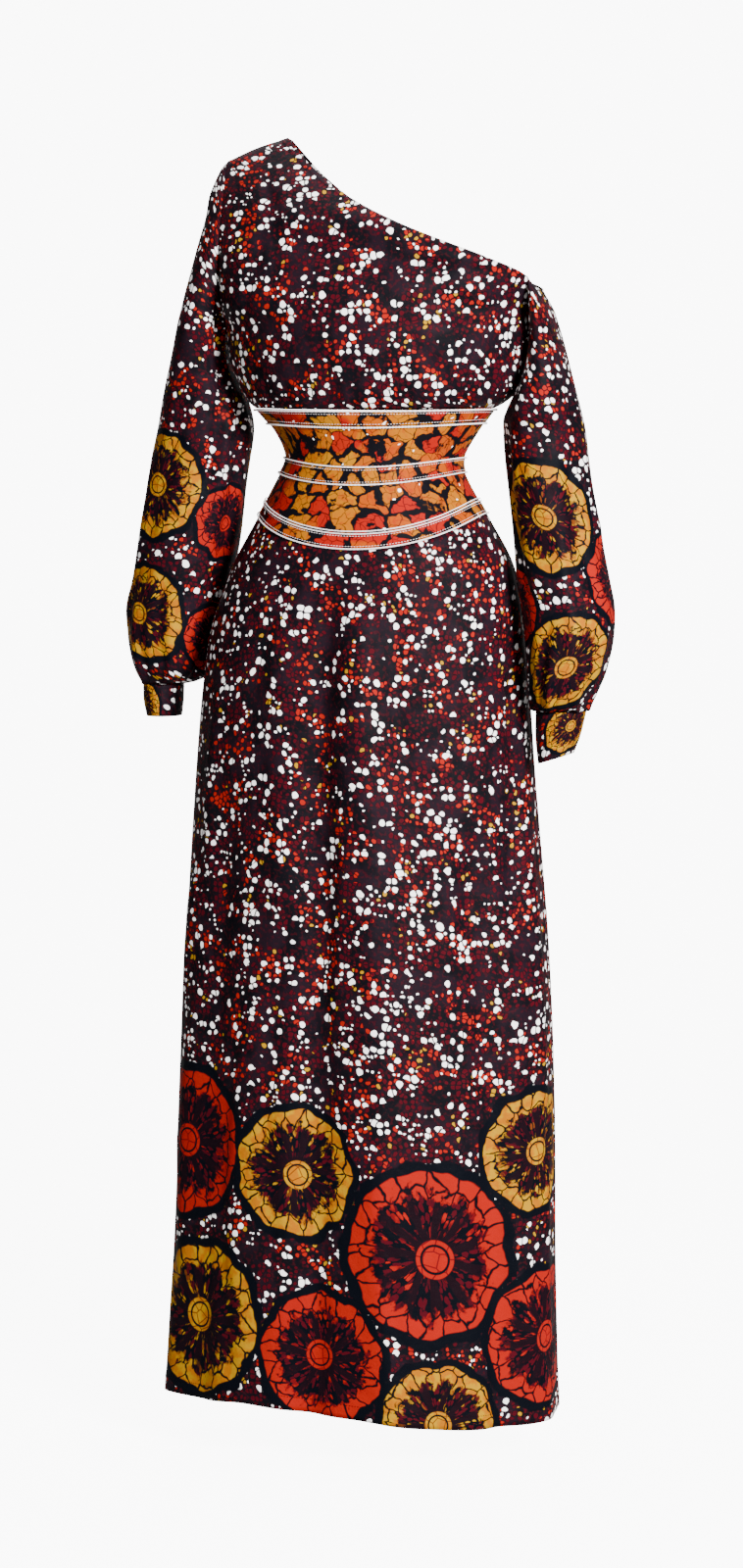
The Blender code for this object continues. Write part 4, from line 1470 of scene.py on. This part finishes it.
def uv_input(tree, name):
    """The vector of one named UV map."""
    return node(tree, "ShaderNodeUVMap", uv_map=name).outputs["UV"]


def fabric(name, roughness, sheen):
    """An empty cotton material with its Principled shader."""
    material = bpy.data.materials.new(name)
    material.use_nodes = True
    tree = material.node_tree
    shader = tree.nodes["Principled BSDF"]
    shader.inputs["Roughness"].default_value = roughness
    shader.inputs["Metallic"].default_value = 0.0
    shader.inputs["IOR"].default_value = COTTON_IOR
    shader.inputs["Specular IOR Level"].default_value = COTTON_SHINE
    shader.inputs["Sheen Weight"].default_value = sheen
    shader.inputs["Sheen Roughness"].default_value = COTTON_FUZZ
    return material, tree, shader


def cotton_surface(tree, shader, sizes, wear_least, wear_most, strength=1.0):
    """Give a material its weave, crumples and uneven shine."""
    weave = bpy.data.node_groups.get("Cotton surface") or weave_group()
    surface = placed(tree, weave, Cloth=uv_input(tree, "cloth"), Thread=sizes.thread)
    bump = node(tree, "ShaderNodeBump")
    bump.inputs["Strength"].default_value = strength
    bump.inputs["Distance"].default_value = 1.0
    feed(tree, bump.inputs["Height"], surface["Height"])
    feed(tree, shader.inputs["Normal"], bump.outputs["Normal"])
    wear = node(tree, "ShaderNodeMapRange")
    feed(tree, wear.inputs["Value"], surface["Wear"])
    feed(tree, wear.inputs["From Min"], 0.3)
    feed(tree, wear.inputs["From Max"], 0.7)
    feed(tree, wear.inputs["To Min"], wear_least)
    feed(tree, wear.inputs["To Max"], wear_most)
    feed(tree, shader.inputs["Roughness"], wear.outputs["Result"])


def wax_print_material(sizes, colours):
    """The pebbled print with its round motifs."""
    material, tree, shader = fabric("pebbled_cotton", 0.5, 0.0)
    ground = placed(
        tree,
        ground_group(dots_group()),
        Cloth=uv_input(tree, "cloth"),
        Pebble=sizes.pebble,
        **dyes(colours, "ground", "plum", "maroon", "red", "yellow", "white"),
    )
    motif = placed(
        tree,
        rosette_group(),
        Place=uv_input(tree, "motif"),
        Ground=MOTIF_SLATE,
        **dyes(colours, "maroon", "red", "amber", "yellow"),
    )
    colour = mixed(tree, motif["Cover"], ground["Colour"], motif["Colour"])
    feed(tree, shader.inputs["Base Color"], colour)
    cotton_surface(tree, shader, sizes, 0.42, 0.58)
    return material


def waist_print_material(sizes, colours):
    """The veined amber and red print of the waist."""
    material, tree, shader = fabric("veined_cotton", 0.5, 0.0)
    patches = placed(
        tree,
        waist_group(),
        Cloth=uv_input(tree, "cloth"),
        Patch=sizes.patch,
        **dyes(colours, "ground", "red", "orange", "amber", "yellow", "white"),
    )
    feed(tree, shader.inputs["Base Color"], patches["Colour"])
    cotton_surface(tree, shader, sizes, 0.40, 0.55, strength=0.8)
    return material


def trim_material(colours):
    """White corded piping with a few flecks of the print's pink."""
    material, tree, shader = fabric("white_cord", 0.62, 0.05)
    place = node(tree, "ShaderNodeTexCoord").outputs["Object"]
    fleck = noise_outputs(tree, place, 260.0, 2.0, 0.5, dimensions="3D")["Fac"]
    share = times(tree, step(tree, fleck, 0.56, 0.68), 0.45)
    colour = mixed(tree, share, (*colours.trim, 1.0), CORD_FLECK)
    feed(tree, shader.inputs["Base Color"], colour)
    return material


def thread_material(name, colour):
    """Sewing thread."""
    material, _, shader = fabric(name, 0.6, 0.0)
    shader.inputs["Base Color"].default_value = colour
    return material


# Surfaces of the pieces


def edge_fade(u):
    """0 at both side edges of a piece and 1 inside it."""
    near = np.minimum(u - u[:, :1], u[:, -1:] - u)
    return eased(near / SEAM_FADE)


def seam_sink(u):
    """How far the cloth sinks beside its side seams."""
    near = np.minimum(u - u[:, :1], u[:, -1:] - u)
    return -SEAM_SINK * np.exp(-((near / SEAM_WIDTH) ** 2))


def skirt_surface(front):
    """The outside of half the skirt, from the hem up."""
    around = shares(SKIRT_COLUMNS[front])
    top = line_height(LINES[0], around, front) - SEAM_GAP
    share = np.linspace(0.0, 1.0, SKIRT_ROWS[front] + 1)[:, None]
    grid = trunk_points(top * share, around[None, :], front)
    levels = read_rows([level.around for level in HEM_LEVELS[front]], HEM_LEVELS[front], around)
    reach = 1.0 - eased(top * share / HEM_LEVEL_REACH)
    grid[..., 2] += levels[:, 1] * reach
    u, v = cloth_lengths(grid, SKIRT_COLUMNS[front] // 2)
    outward = outward_normals(grid, HALF_PIECE)
    creases = SKIRT_FRONT_CREASES if front else SKIRT_BACK_CREASES
    out = crease_offset(u, v, creases) * edge_fade(u) + seam_sink(u)
    out += HEM_RISE * (1.0 - eased((v - HEM_HEIGHT) / HEM_EASE))
    below_top = eased((top * (1.0 - share)) / SEAM_FADE)
    return grid + outward * (out * below_top)[..., None], u, v


def waist_surface(front, lines, row_count, out=0.0):
    """The outside of half the waist, from one trimmed line up to another."""
    around = shares(MIDRIFF_COLUMNS)
    low, high = (line_height(LINES[index], around, front) for index in lines)
    share = np.linspace(0.0, 1.0, row_count + 1)[:, None]
    height = low + (high - low) * share
    grid = trunk_points(height, around[None, :], front)
    if out:
        grid = grid + trunk_outward(height, around[None, :], front) * out
    u = np.broadcast_to((around - 0.5) * WAIST_ROUND, height.shape)
    return grid, u, height


def bodice_surface(front):
    """The outside of half the bodice, gathered along the waist panel."""
    rows = BODICE_FRONT if front else BODICE_BACK
    wanted = rows_by_length([row.left_height for row in rows], BODICE_ROWS[front])
    values = read_rows(np.arange(len(rows)), rows, wanted)[:, :, None]
    left_x, left_depth, left_height, right_x, right_depth, right_height = np.moveaxis(
        values[:, :6], 1, 0
    )
    bulge, roundness, dip = np.moveaxis(values[:, 6:], 1, 0)
    along = shares(BODICE_COLUMNS[front])[None, :]
    angle = math.pi * along
    share = along + ((1.0 - np.cos(angle)) / 2.0 - along) * roundness
    x = left_x + (right_x - left_x) * share
    depth = left_depth + (right_depth - left_depth) * share + bulge * np.sin(angle)
    z = left_height + (right_height - left_height) * share - dip * np.sin(angle) ** 2
    rise = left_height - rows[0].left_height
    fade = eased(rise / BODICE_GATHER_RISE) * (1.0 - eased(rise / BODICE_GATHER_RUN))
    depth = depth + gather_offset(2.0 * math.pi * along, fade * np.sin(angle), BODICE_GATHERS)
    side = -1.0 if front else 1.0
    grid = np.stack((x, side * depth, z), axis=-1)
    u, v = bodice_lengths(grid)
    outward = outward_normals(grid, HALF_PIECE)
    creases = BODICE_FRONT_CREASES if front else BODICE_BACK_CREASES
    out = crease_offset(u, v, creases) * edge_fade(u) * eased(rise / BODICE_GATHER_RISE)
    neckline = eased((right_height - NECKLINE_START[front]) / NECKLINE_EASE)
    from_edge = u[:, -1:] - u
    out = out + neckline * HEM_RISE * (1.0 - eased((from_edge - NECKLINE_TURN) / HEM_EASE))
    return grid + outward * out[..., None], u, v


def sleeve_surface(rows, side, creases, row_count, gathers, middle_u):
    """The outside of a sleeve or cuff, from its lower end up."""
    heights = [row.height for row in rows]
    wanted = rows_by_length(heights, row_count)[::-1]
    values = read_rows(np.arange(len(rows)), rows, wanted)[:, :, None]
    height, inner, outer, half_depth, centre_y, open_half, drop = np.moveaxis(values, 1, 0)
    inner = inner + (SEAM_GAP if gathers else 0.0)
    open_share = np.clip(open_half / half_depth, 0.0, 1.0)
    start = np.arcsin(open_share)
    half_width = (outer - inner) / (1.0 + np.cos(start))
    centre_x = outer - half_width
    fade = gathers * (1.0 - eased((height - heights[-1]) / SLEEVE_GATHER_RUN))
    share = np.linspace(0.0, 1.0, SLEEVE_COLUMNS + 1)[None, :]
    turn = start + (2.0 * math.pi - 2.0 * start) * share
    wave = gather_offset(turn, fade, SLEEVE_GATHERS)
    x = centre_x - (half_width + wave) * np.cos(turn)
    y = centre_y - (half_depth + wave) * np.sin(turn)
    behind = np.maximum(y - centre_y, 0.0) / half_depth * np.maximum(drop, 0.0)
    z = height - drop * (x - inner) / (outer - inner) - SLEEVE_BACK_DROP * behind
    grid = np.stack((side * x, y, z), axis=-1)
    u, v = cloth_lengths(grid, SLEEVE_COLUMNS // 2)
    u = u + middle_u
    outward = outward_normals(grid)
    out = crease_offset(u, v, creases) * edge_fade(u)
    return grid + outward * out[..., None], u, v


def cuff_surface(sleeve):
    """The outside of a sleeve's cuff, without creases or gathers."""
    return sleeve_surface(sleeve.cuff, sleeve.side, (), CUFF_ROWS, 0.0, CUFF_MIDDLE)


def merged_seam(obj):
    """Join the two edges of a tube where they meet."""
    bm = bmesh.new()
    bm.from_mesh(obj.data)
    bmesh.ops.remove_doubles(bm, verts=bm.verts, dist=MERGE_DISTANCE)
    bm.to_mesh(obj.data)
    bm.free()


# Stitches and cords


def across_at(surface, level, out):
    """A line across a piece of cloth at one height, held just off it."""
    grid, _, v = surface
    raised = grid + outward_normals(grid) * out
    line = []
    for column in range(grid.shape[1]):
        heights = v[:, column]
        line.append([np.interp(level, heights, raised[:, column, axis]) for axis in range(3)])
    return np.array(line)


def beside_neckline(front, inset, out):
    """A line along the neckline, a little way in from its edge."""
    grid, u, _ = bodice_surface(front)
    raised = grid + outward_normals(grid) * out
    line = []
    for row in np.flatnonzero(grid[:, -1, 2] > NECKLINE_START[front]):
        place = u[row, -1] - inset
        line.append([np.interp(place, u[row], raised[row, :, axis]) for axis in range(3)])
    return np.array(line)


def stitch_tree():
    """Geometry nodes that lay one thread stitch after another along a curve."""
    tree = bpy.data.node_groups.new("Stitches", "GeometryNodeTree")
    face = tree.interface
    face.new_socket("Geometry", in_out="INPUT", socket_type="NodeSocketGeometry")
    for label, value in (("Pitch", 0.003), ("Length", 0.002), ("Radius", 0.0003), ("Wander", 0.05)):
        socket = face.new_socket(label, in_out="INPUT", socket_type="NodeSocketFloat")
        socket.default_value = value
    face.new_socket("Seed", in_out="INPUT", socket_type="NodeSocketInt")
    face.new_socket("Material", in_out="INPUT", socket_type="NodeSocketMaterial")
    face.new_socket("Geometry", in_out="OUTPUT", socket_type="NodeSocketGeometry")
    take = node(tree, "NodeGroupInput").outputs
    give = node(tree, "NodeGroupOutput").inputs

    points = node(tree, "GeometryNodeCurveToPoints", mode="LENGTH")
    feed(tree, points.inputs["Curve"], take["Geometry"])
    feed(tree, points.inputs["Length"], take["Pitch"])
    bead = node(tree, "GeometryNodeMeshUVSphere")
    bead.inputs["Segments"].default_value = BEAD_SEGMENTS
    bead.inputs["Rings"].default_value = BEAD_RINGS
    bead.inputs["Radius"].default_value = 1.0
    size = joined(tree, take["Radius"], take["Radius"], times(tree, take["Length"], 0.5))
    tilt = node(tree, "FunctionNodeRandomValue", data_type="FLOAT_VECTOR")
    feed(tree, tilt.inputs["Min"], scaled(tree, (-1.0, -1.0, 0.0), take["Wander"]))
    feed(tree, tilt.inputs["Max"], scaled(tree, (1.0, 1.0, 0.0), take["Wander"]))
    feed(tree, tilt.inputs["Seed"], take["Seed"])
    turn = node(tree, "FunctionNodeRotateRotation", rotation_space="LOCAL")
    feed(tree, turn.inputs["Rotation"], points.outputs["Rotation"])
    feed(tree, turn.inputs["Rotate By"], tilt.outputs["Value"])
    laid = node(tree, "GeometryNodeInstanceOnPoints")
    feed(tree, laid.inputs["Points"], points.outputs["Points"])
    feed(tree, laid.inputs["Instance"], bead.outputs["Mesh"])
    feed(tree, laid.inputs["Rotation"], turn.outputs["Rotation"])
    feed(tree, laid.inputs["Scale"], size)
    real = node(tree, "GeometryNodeRealizeInstances")
    feed(tree, real.inputs["Geometry"], laid.outputs["Instances"])
    smooth = node(tree, "GeometryNodeSetShadeSmooth")
    feed(tree, smooth.inputs["Geometry"], real.outputs["Geometry"])
    painted = node(tree, "GeometryNodeSetMaterial")
    feed(tree, painted.inputs["Geometry"], smooth.outputs["Geometry"])
    feed(tree, painted.inputs["Material"], take["Material"])
    feed(tree, give["Geometry"], painted.outputs["Geometry"])
    return tree


def stitch_row(name, lines, values, material):
    """Stitches along lines of points, as one plain mesh."""
    curve = bpy.data.curves.new(name, "CURVE")
    curve.dimensions = "3D"
    for line in lines:
        spline = curve.splines.new("POLY")
        spline.points.add(len(line) - 1)
        for point, place in zip(spline.points, line - HANG_POINT):
            point.co = (*place, 1.0)
    path = new_object(f"{name}_path", curve)
    tree = bpy.data.node_groups.get("Stitches") or stitch_tree()
    modifier = path.modifiers.new("stitches", "NODES")
    modifier.node_group = tree
    settings = dict(values, Material=material)
    for item in tree.interface.items_tree:
        if item.in_out == "INPUT" and item.name in settings:
            modifier[item.identifier] = settings[item.name]
    mesh = evaluated_mesh(path)
    mesh.name = name
    obj = new_object(name, mesh)
    bpy.data.objects.remove(path, do_unlink=True)
    bpy.data.curves.remove(curve)
    if len(mesh.polygons) == 0:
        raise RuntimeError(f"{name} has no stitches")
    return obj


def cord_frame(line, outward):
    """Even steps along a line: how far each has run, its place, and its axes out and up."""
    steps = np.linalg.norm(np.diff(line, axis=0), axis=-1)
    run = np.r_[0.0, np.cumsum(steps)]
    wanted = np.linspace(0.0, run[-1], int(run[-1] / CORD_STEP) + 1)
    centre = np.stack([np.interp(wanted, run, line[:, axis]) for axis in range(3)], axis=-1)
    out = np.stack([np.interp(wanted, run, outward[:, axis]) for axis in range(3)], axis=-1)
    along = np.gradient(centre, axis=0)
    along /= np.linalg.norm(along, axis=-1, keepdims=True)
    out -= along * np.sum(out * along, axis=-1, keepdims=True)
    out /= np.linalg.norm(out, axis=-1, keepdims=True)
    return wanted, centre, out, np.cross(out, along)


def tube_faces(rows, columns):
    """The faces of a tube of points, capped at both ends."""
    row = np.repeat(np.arange(rows - 1), columns)
    column = np.tile(np.arange(columns), rows - 1)
    after = (column + 1) % columns
    corners = (
        row * columns + column,
        (row + 1) * columns + column,
        (row + 1) * columns + after,
        row * columns + after,
    )
    faces = np.stack(corners, axis=-1).tolist()
    faces.append(list(range(columns)))
    faces.append(list(reversed(range((rows - 1) * columns, rows * columns))))
    return faces


def twisted_cord(name, line, outward, cord, material):
    """A cord along a line of points, its strands laid round it, or pinched if it has none."""
    wanted, centre, out, up = cord_frame(line, outward)
    turn = np.linspace(0.0, 2.0 * math.pi, CORD_SIDES, endpoint=False)[None, :]
    lay = 2.0 * math.pi * wanted[:, None] / cord.pitch
    if cord.strands:
        size = cord.radius * (1.0 - cord.depth + cord.depth * np.cos(cord.strands * turn - lay))
    else:
        pinch = 2.0 * cord.depth * (1.0 - np.abs(np.cos(lay / 2.0)))
        size = cord.radius * (1.0 - pinch) * np.ones_like(turn)
    points = centre[:, None] + size[..., None] * (
        np.cos(turn)[..., None] * out[:, None] + np.sin(turn)[..., None] * up[:, None]
    )
    mesh = bpy.data.meshes.new(name)
    faces = tube_faces(*points.shape[:2])
    mesh.from_pydata((points - HANG_POINT).reshape(-1, 3).tolist(), [], faces)
    bm = bmesh.new()
    bm.from_mesh(mesh)
    bmesh.ops.recalc_face_normals(bm, faces=bm.faces)
    bm.to_mesh(mesh)
    bm.free()
    mesh.shade_smooth()
    mesh.materials.append(material)
    return new_object(name, mesh)


# Pieces


def dress_material(scene, name):
    """One of the dress's materials, built when it is first asked for."""
    found = bpy.data.materials.get(name)
    if found is not None:
        return found
    if name == "pebbled_cotton":
        return wax_print_material(scene.dress_sizes, scene.dress_colours)
    if name == "veined_cotton":
        return waist_print_material(scene.dress_sizes, scene.dress_colours)
    if name == "white_cord":
        return trim_material(scene.dress_colours)
    return thread_material(name, THREAD_COLOUR)


def settle(obj, nodes):
    """Tie a finished piece to the frame."""
    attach(obj, BODY)
    if nodes:
        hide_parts(*nodes)


def make_skirt(scene):
    """Front and back of the skirt."""
    sizes = scene.dress_sizes
    material = dress_material(scene, "pebbled_cotton")
    for front, place in HALVES:
        surface = skirt_surface(front)
        motifs = SKIRT_FRONT_MOTIFS if front else SKIRT_BACK_MOTIFS
        obj = sheet_object(f"skirt_{place}_cloth", surface, motifs, sizes.wall, material)
        settle(obj, [f"skirt_{place}"])


def make_midriff(scene):
    """Front and back of the waist panel."""
    material = dress_material(scene, "veined_cotton")
    for front, place in HALVES:
        surface = waist_surface(front, WAIST_PANEL, MIDRIFF_ROWS)
        wall = scene.dress_sizes.wall
        obj = sheet_object(f"midriff_{place}_cloth", surface, (), wall, material)
        settle(obj, [f"midriff_{place}"])


def make_bands(scene):
    """The ribbon bands round the waist panel."""
    sizes = scene.dress_sizes
    material = dress_material(scene, "veined_cotton")
    out = sizes.trim_gap + sizes.band_wall
    for front, place in HALVES:
        for label, band in BANDS.items():
            surface = waist_surface(front, band, BAND_ROWS, out)
            name = f"band_{label}_{place}"
            obj = sheet_object(f"{name}_ribbon", surface, (), sizes.band_wall, material)
            settle(obj, [name])


def make_piping(scene):
    """The white cords along both edges of every band."""
    sizes = scene.dress_sizes
    material = dress_material(scene, "white_cord")
    for front, place in HALVES:
        around = shares(MIDRIFF_COLUMNS)
        for number, (line, cord) in enumerate(zip(LINES, CORDS), start=1):
            base = sizes.trim_gap * 2.0 + sizes.band_wall
            height = line_height(line, around, front)
            outward = trunk_outward(height, around, front)
            for strand, lift in enumerate(cord.lifts):
                path = trunk_points(height + lift, around, front)
                path = path + outward * (base + cord.radius)
                name = f"piping_{number}_{place}_cord_{strand + 1}"
                obj = twisted_cord(name, path, outward, cord, material)
                settle(obj, [f"piping_{number}_{place}"])


def make_bodice(scene):
    """Front and back of the one-shoulder bodice."""
    material = dress_material(scene, "pebbled_cotton")
    for front, place in HALVES:
        surface = bodice_surface(front)
        name = f"bodice_{place}_cloth"
        obj = sheet_object(name, surface, (), scene.dress_sizes.wall, material)
        settle(obj, [f"bodice_{place}"])


def make_sleeves(scene):
    """Both long sleeves with their cuffs."""
    material = dress_material(scene, "pebbled_cotton")
    wall = scene.dress_sizes.wall
    for sleeve in SLEEVES:
        name = f"sleeve_{sleeve.name}"
        surface = sleeve_surface(
            sleeve.rows, sleeve.side, sleeve.creases, SLEEVE_ROWS, 1.0, SLEEVE_MIDDLE
        )
        obj = sheet_object(f"{name}_cloth", surface, sleeve.motifs, wall, material, merge=True)
        settle(obj, [f"{name}_front", f"{name}_back"])
        cuff = f"cuff_{sleeve.name}"
        surface = cuff_surface(sleeve)
        obj = sheet_object(f"{cuff}_cloth", surface, sleeve.cuff_motifs, wall, material, merge=True)
        settle(obj, [cuff])


def make_stitches(scene):
    """Rows of topstitching at hem, neckline, cuffs and trims."""
    sizes = scene.dress_sizes
    values = {
        "Pitch": sizes.stitch_pitch,
        "Length": sizes.stitch_length,
        "Radius": sizes.stitch_radius,
        "Wander": STITCH_WANDER,
        "Seed": scene.dress_studio.stitch_seed,
    }
    off = sizes.stitch_radius * STITCH_RAISED
    material = dress_material(scene, "sewing_thread")
    hem_line = HEM_HEIGHT - HEM_STITCH_INSET
    hems = [across_at(skirt_surface(front), hem_line, off) for front, _ in HALVES]
    settle(stitch_row("hem_stitches", hems, values, material), [])
    neck = [beside_neckline(front, NECKLINE_TURN, off) for front, _ in HALVES]
    settle(stitch_row("neckline_stitches", neck, values, material), [])
    rows = []
    for sleeve in SLEEVES:
        surface = cuff_surface(sleeve)
        length = surface[2][-1].min()
        rows.append(across_at(surface, CUFF_STITCH_INSET, off))
        rows.append(across_at(surface, length - CUFF_STITCH_INSET, off))
    settle(stitch_row("cuff_stitches", rows, values, material), [])
    rows = []
    base = sizes.trim_gap + sizes.band_wall
    around = shares(MIDRIFF_COLUMNS)
    for front, _ in HALVES:
        for line, lift in zip(LINES, TRIM_STITCH_LIFTS):
            height = line_height(line, around, front) + lift
            outward = trunk_outward(height, around, front)
            rows.append(trunk_points(height, around, front) + outward * (base + off))
    white = dress_material(scene, "white_cord")
    settle(stitch_row("trim_stitches", rows, values, white), [])


# Studio


def make_lamp(lamp, middle, turn):
    """A soft square lamp that looks at the middle of the dress."""
    data = bpy.data.lights.new(lamp.name, "AREA")
    data.shape = "SQUARE"
    data.size = lamp.size
    data.energy = lamp.energy
    data.color = lamp.colour
    obj = new_object(lamp.name, data)
    away = Vector(lamp.place)
    away.rotate(turn)
    obj.location = middle + away
    obj.rotation_euler = (middle - obj.location).to_track_quat("-Z", "Y").to_euler()
    return obj


def paper_material():
    """White paper that glows for the camera only and can be seen through from behind."""
    material, tree, shader = fabric("backdrop_paper", 0.9, 0.0)
    shader.inputs["Base Color"].default_value = PAPER_GREY
    shader.inputs["Specular IOR Level"].default_value = 0.0
    shader.inputs["Emission Color"].default_value = (1.0, 1.0, 1.0, 1.0)
    seen = node(tree, "ShaderNodeLightPath").outputs["Is Camera Ray"]
    feed(tree, shader.inputs["Emission Strength"], times(tree, seen, BACKDROP_GLOW))
    clear = node(tree, "ShaderNodeBsdfTransparent").outputs["BSDF"]
    behind = node(tree, "ShaderNodeNewGeometry").outputs["Backfacing"]
    one_sided = node(tree, "ShaderNodeMixShader")
    feed(tree, one_sided.inputs["Fac"], behind)
    feed(tree, one_sided.inputs[1], shader.outputs["BSDF"])
    feed(tree, one_sided.inputs[2], clear)
    feed(tree, tree.nodes["Material Output"].inputs["Surface"], one_sided.outputs["Shader"])
    return material


def make_backdrop(middle, floor, turn):
    """Paper on the floor that bends up behind the dress, turned to face the camera."""
    profile = [(-PAPER_REACH, 0.0), (PAPER_BEND_START, 0.0)]
    for number in range(1, PAPER_BEND_STEPS + 1):
        angle = 0.5 * math.pi * number / PAPER_BEND_STEPS
        along = PAPER_BEND_START + PAPER_BEND * math.sin(angle)
        profile.append((along, PAPER_BEND - PAPER_BEND * math.cos(angle)))
    profile.append((PAPER_BEND_START + PAPER_BEND, PAPER_TOP))
    points = []
    for y, z in profile:
        for x in (-PAPER_REACH, PAPER_REACH):
            place = Vector((x, y, 0.0))
            place.rotate(turn)
            points.append((place.x + middle.x, place.y, floor + z))
    faces = [(2 * i, 2 * i + 1, 2 * i + 3, 2 * i + 2) for i in range(len(profile) - 1)]
    mesh = bpy.data.meshes.new("backdrop")
    mesh.from_pydata(points, [], faces)
    mesh.shade_smooth()
    mesh.materials.append(paper_material())
    return new_object("backdrop", mesh)


def make_room(scene):
    """Pale light from all round, and white where the camera sees past the paper."""
    world = bpy.data.worlds.new("pale_room")
    world.use_nodes = True
    tree = world.node_tree
    sky = tree.nodes["Background"]
    sky.inputs["Color"].default_value = ROOM_COLOUR
    seen = node(tree, "ShaderNodeLightPath").outputs["Is Camera Ray"]
    bright = calc(tree, "MULTIPLY_ADD", seen, BACKDROP_GLOW, ROOM_LIGHT)
    feed(tree, sky.inputs["Strength"], bright)
    scene.world = world


def make_camera(scene, hem, turn):
    """The camera, at the photograph's place."""
    studio = scene.dress_studio
    data = bpy.data.cameras.new("camera")
    data.lens = studio.lens
    camera = new_object("camera", data)
    away = Vector((0.0, -studio.distance, 0.0))
    away.rotate(turn)
    camera.location = away + Vector((-HANG_POINT[0], 0.0, hem + studio.eye_height))
    camera.rotation_euler = Euler((math.pi / 2.0 - studio.tilt, 0.0, studio.azimuth))
    scene.camera = camera
    return camera


def make_studio(scene):
    """Backdrop, lamps and camera."""
    hem = -HANG_POINT[2]
    middle = Vector((-HANG_POINT[0], 0.0, hem + LAMP_AIM))
    turn = Euler((0.0, 0.0, scene.dress_studio.azimuth))
    backdrop = make_backdrop(middle, hem - scene.dress_studio.floor_drop, turn)
    lamps = [make_lamp(lamp, middle, turn) for lamp in LAMPS]
    make_room(scene)
    camera = make_camera(scene, hem, turn)


# Operators and panel


class DRESS_OT_skirt(bpy.types.Operator):
    """Make the skirt's front and back"""

    bl_idname = "dress.skirt"
    bl_label = "Skirt"

    def execute(self, context):
        make_skirt(context.scene)
        return {"FINISHED"}


class DRESS_OT_midriff(bpy.types.Operator):
    """Make the shaped waist panel"""

    bl_idname = "dress.midriff"
    bl_label = "Waist panel"

    def execute(self, context):
        make_midriff(context.scene)
        return {"FINISHED"}


class DRESS_OT_bands(bpy.types.Operator):
    """Make the ribbon bands round the waist"""

    bl_idname = "dress.bands"
    bl_label = "Bands"

    def execute(self, context):
        make_bands(context.scene)
        return {"FINISHED"}


class DRESS_OT_piping(bpy.types.Operator):
    """Make the white cords beside the bands"""

    bl_idname = "dress.piping"
    bl_label = "Piping"

    def execute(self, context):
        make_piping(context.scene)
        return {"FINISHED"}


class DRESS_OT_bodice(bpy.types.Operator):
    """Make the bodice's front and back"""

    bl_idname = "dress.bodice"
    bl_label = "Bodice"

    def execute(self, context):
        make_bodice(context.scene)
        return {"FINISHED"}


class DRESS_OT_sleeves(bpy.types.Operator):
    """Make both sleeves and their cuffs"""

    bl_idname = "dress.sleeves"
    bl_label = "Sleeves and cuffs"

    def execute(self, context):
        make_sleeves(context.scene)
        return {"FINISHED"}


class DRESS_OT_stitches(bpy.types.Operator):
    """Lay the rows of stitches"""

    bl_idname = "dress.stitches"
    bl_label = "Stitches"

    def execute(self, context):
        make_stitches(context.scene)
        return {"FINISHED"}


class DRESS_OT_studio(bpy.types.Operator):
    """Set the backdrop, lamps and camera"""

    bl_idname = "dress.studio"
    bl_label = "Studio"

    def execute(self, context):
        make_studio(context.scene)
        return {"FINISHED"}


OPERATORS = (
    DRESS_OT_skirt,
    DRESS_OT_midriff,
    DRESS_OT_bands,
    DRESS_OT_piping,
    DRESS_OT_bodice,
    DRESS_OT_sleeves,
    DRESS_OT_stitches,
    DRESS_OT_studio,
)


class DRESS_PT_panel(bpy.types.Panel):
    """Sizes, colours and steps of the dress"""

    bl_label = "Wax print dress"
    bl_space_type = "VIEW_3D"
    bl_region_type = "UI"
    bl_category = "Dress"

    def draw(self, context):
        layout = self.layout
        for title, group in (
            ("Sizes", context.scene.dress_sizes),
            ("Colours", context.scene.dress_colours),
            ("Studio", context.scene.dress_studio),
        ):
            box = layout.box()
            box.label(text=title)
            for name in group.bl_rna.properties.keys():
                if name not in {"rna_type", "name"}:
                    box.prop(group, name)
        column = layout.column(align=True)
        for operator in OPERATORS:
            column.operator(operator.bl_idname)


PROPERTY_GROUPS = (DressSizes, DressColours, StudioSettings)
CLASSES = PROPERTY_GROUPS + OPERATORS + (DRESS_PT_panel,)


def register():
    """Make the properties, operators and panel known to Blender."""
    for cls in CLASSES:
        bpy.utils.register_class(cls)
    bpy.types.Scene.dress_sizes = PointerProperty(type=DressSizes)
    bpy.types.Scene.dress_colours = PointerProperty(type=DressColours)
    bpy.types.Scene.dress_studio = PointerProperty(type=StudioSettings)


def unregister():
    """Take them away again."""
    del bpy.types.Scene.dress_studio
    del bpy.types.Scene.dress_colours
    del bpy.types.Scene.dress_sizes
    for cls in reversed(CLASSES):
        bpy.utils.unregister_class(cls)


def main():
    """Build the dress and its studio."""
    register()
    bpy.ops.dress.skirt()
    bpy.ops.dress.midriff()
    bpy.ops.dress.bands()
    bpy.ops.dress.piping()
    bpy.ops.dress.bodice()
    bpy.ops.dress.sleeves()
    bpy.ops.dress.stitches()
    bpy.ops.dress.studio()
    bpy.context.view_layer.update()


if __name__ == "__main__":
    main()
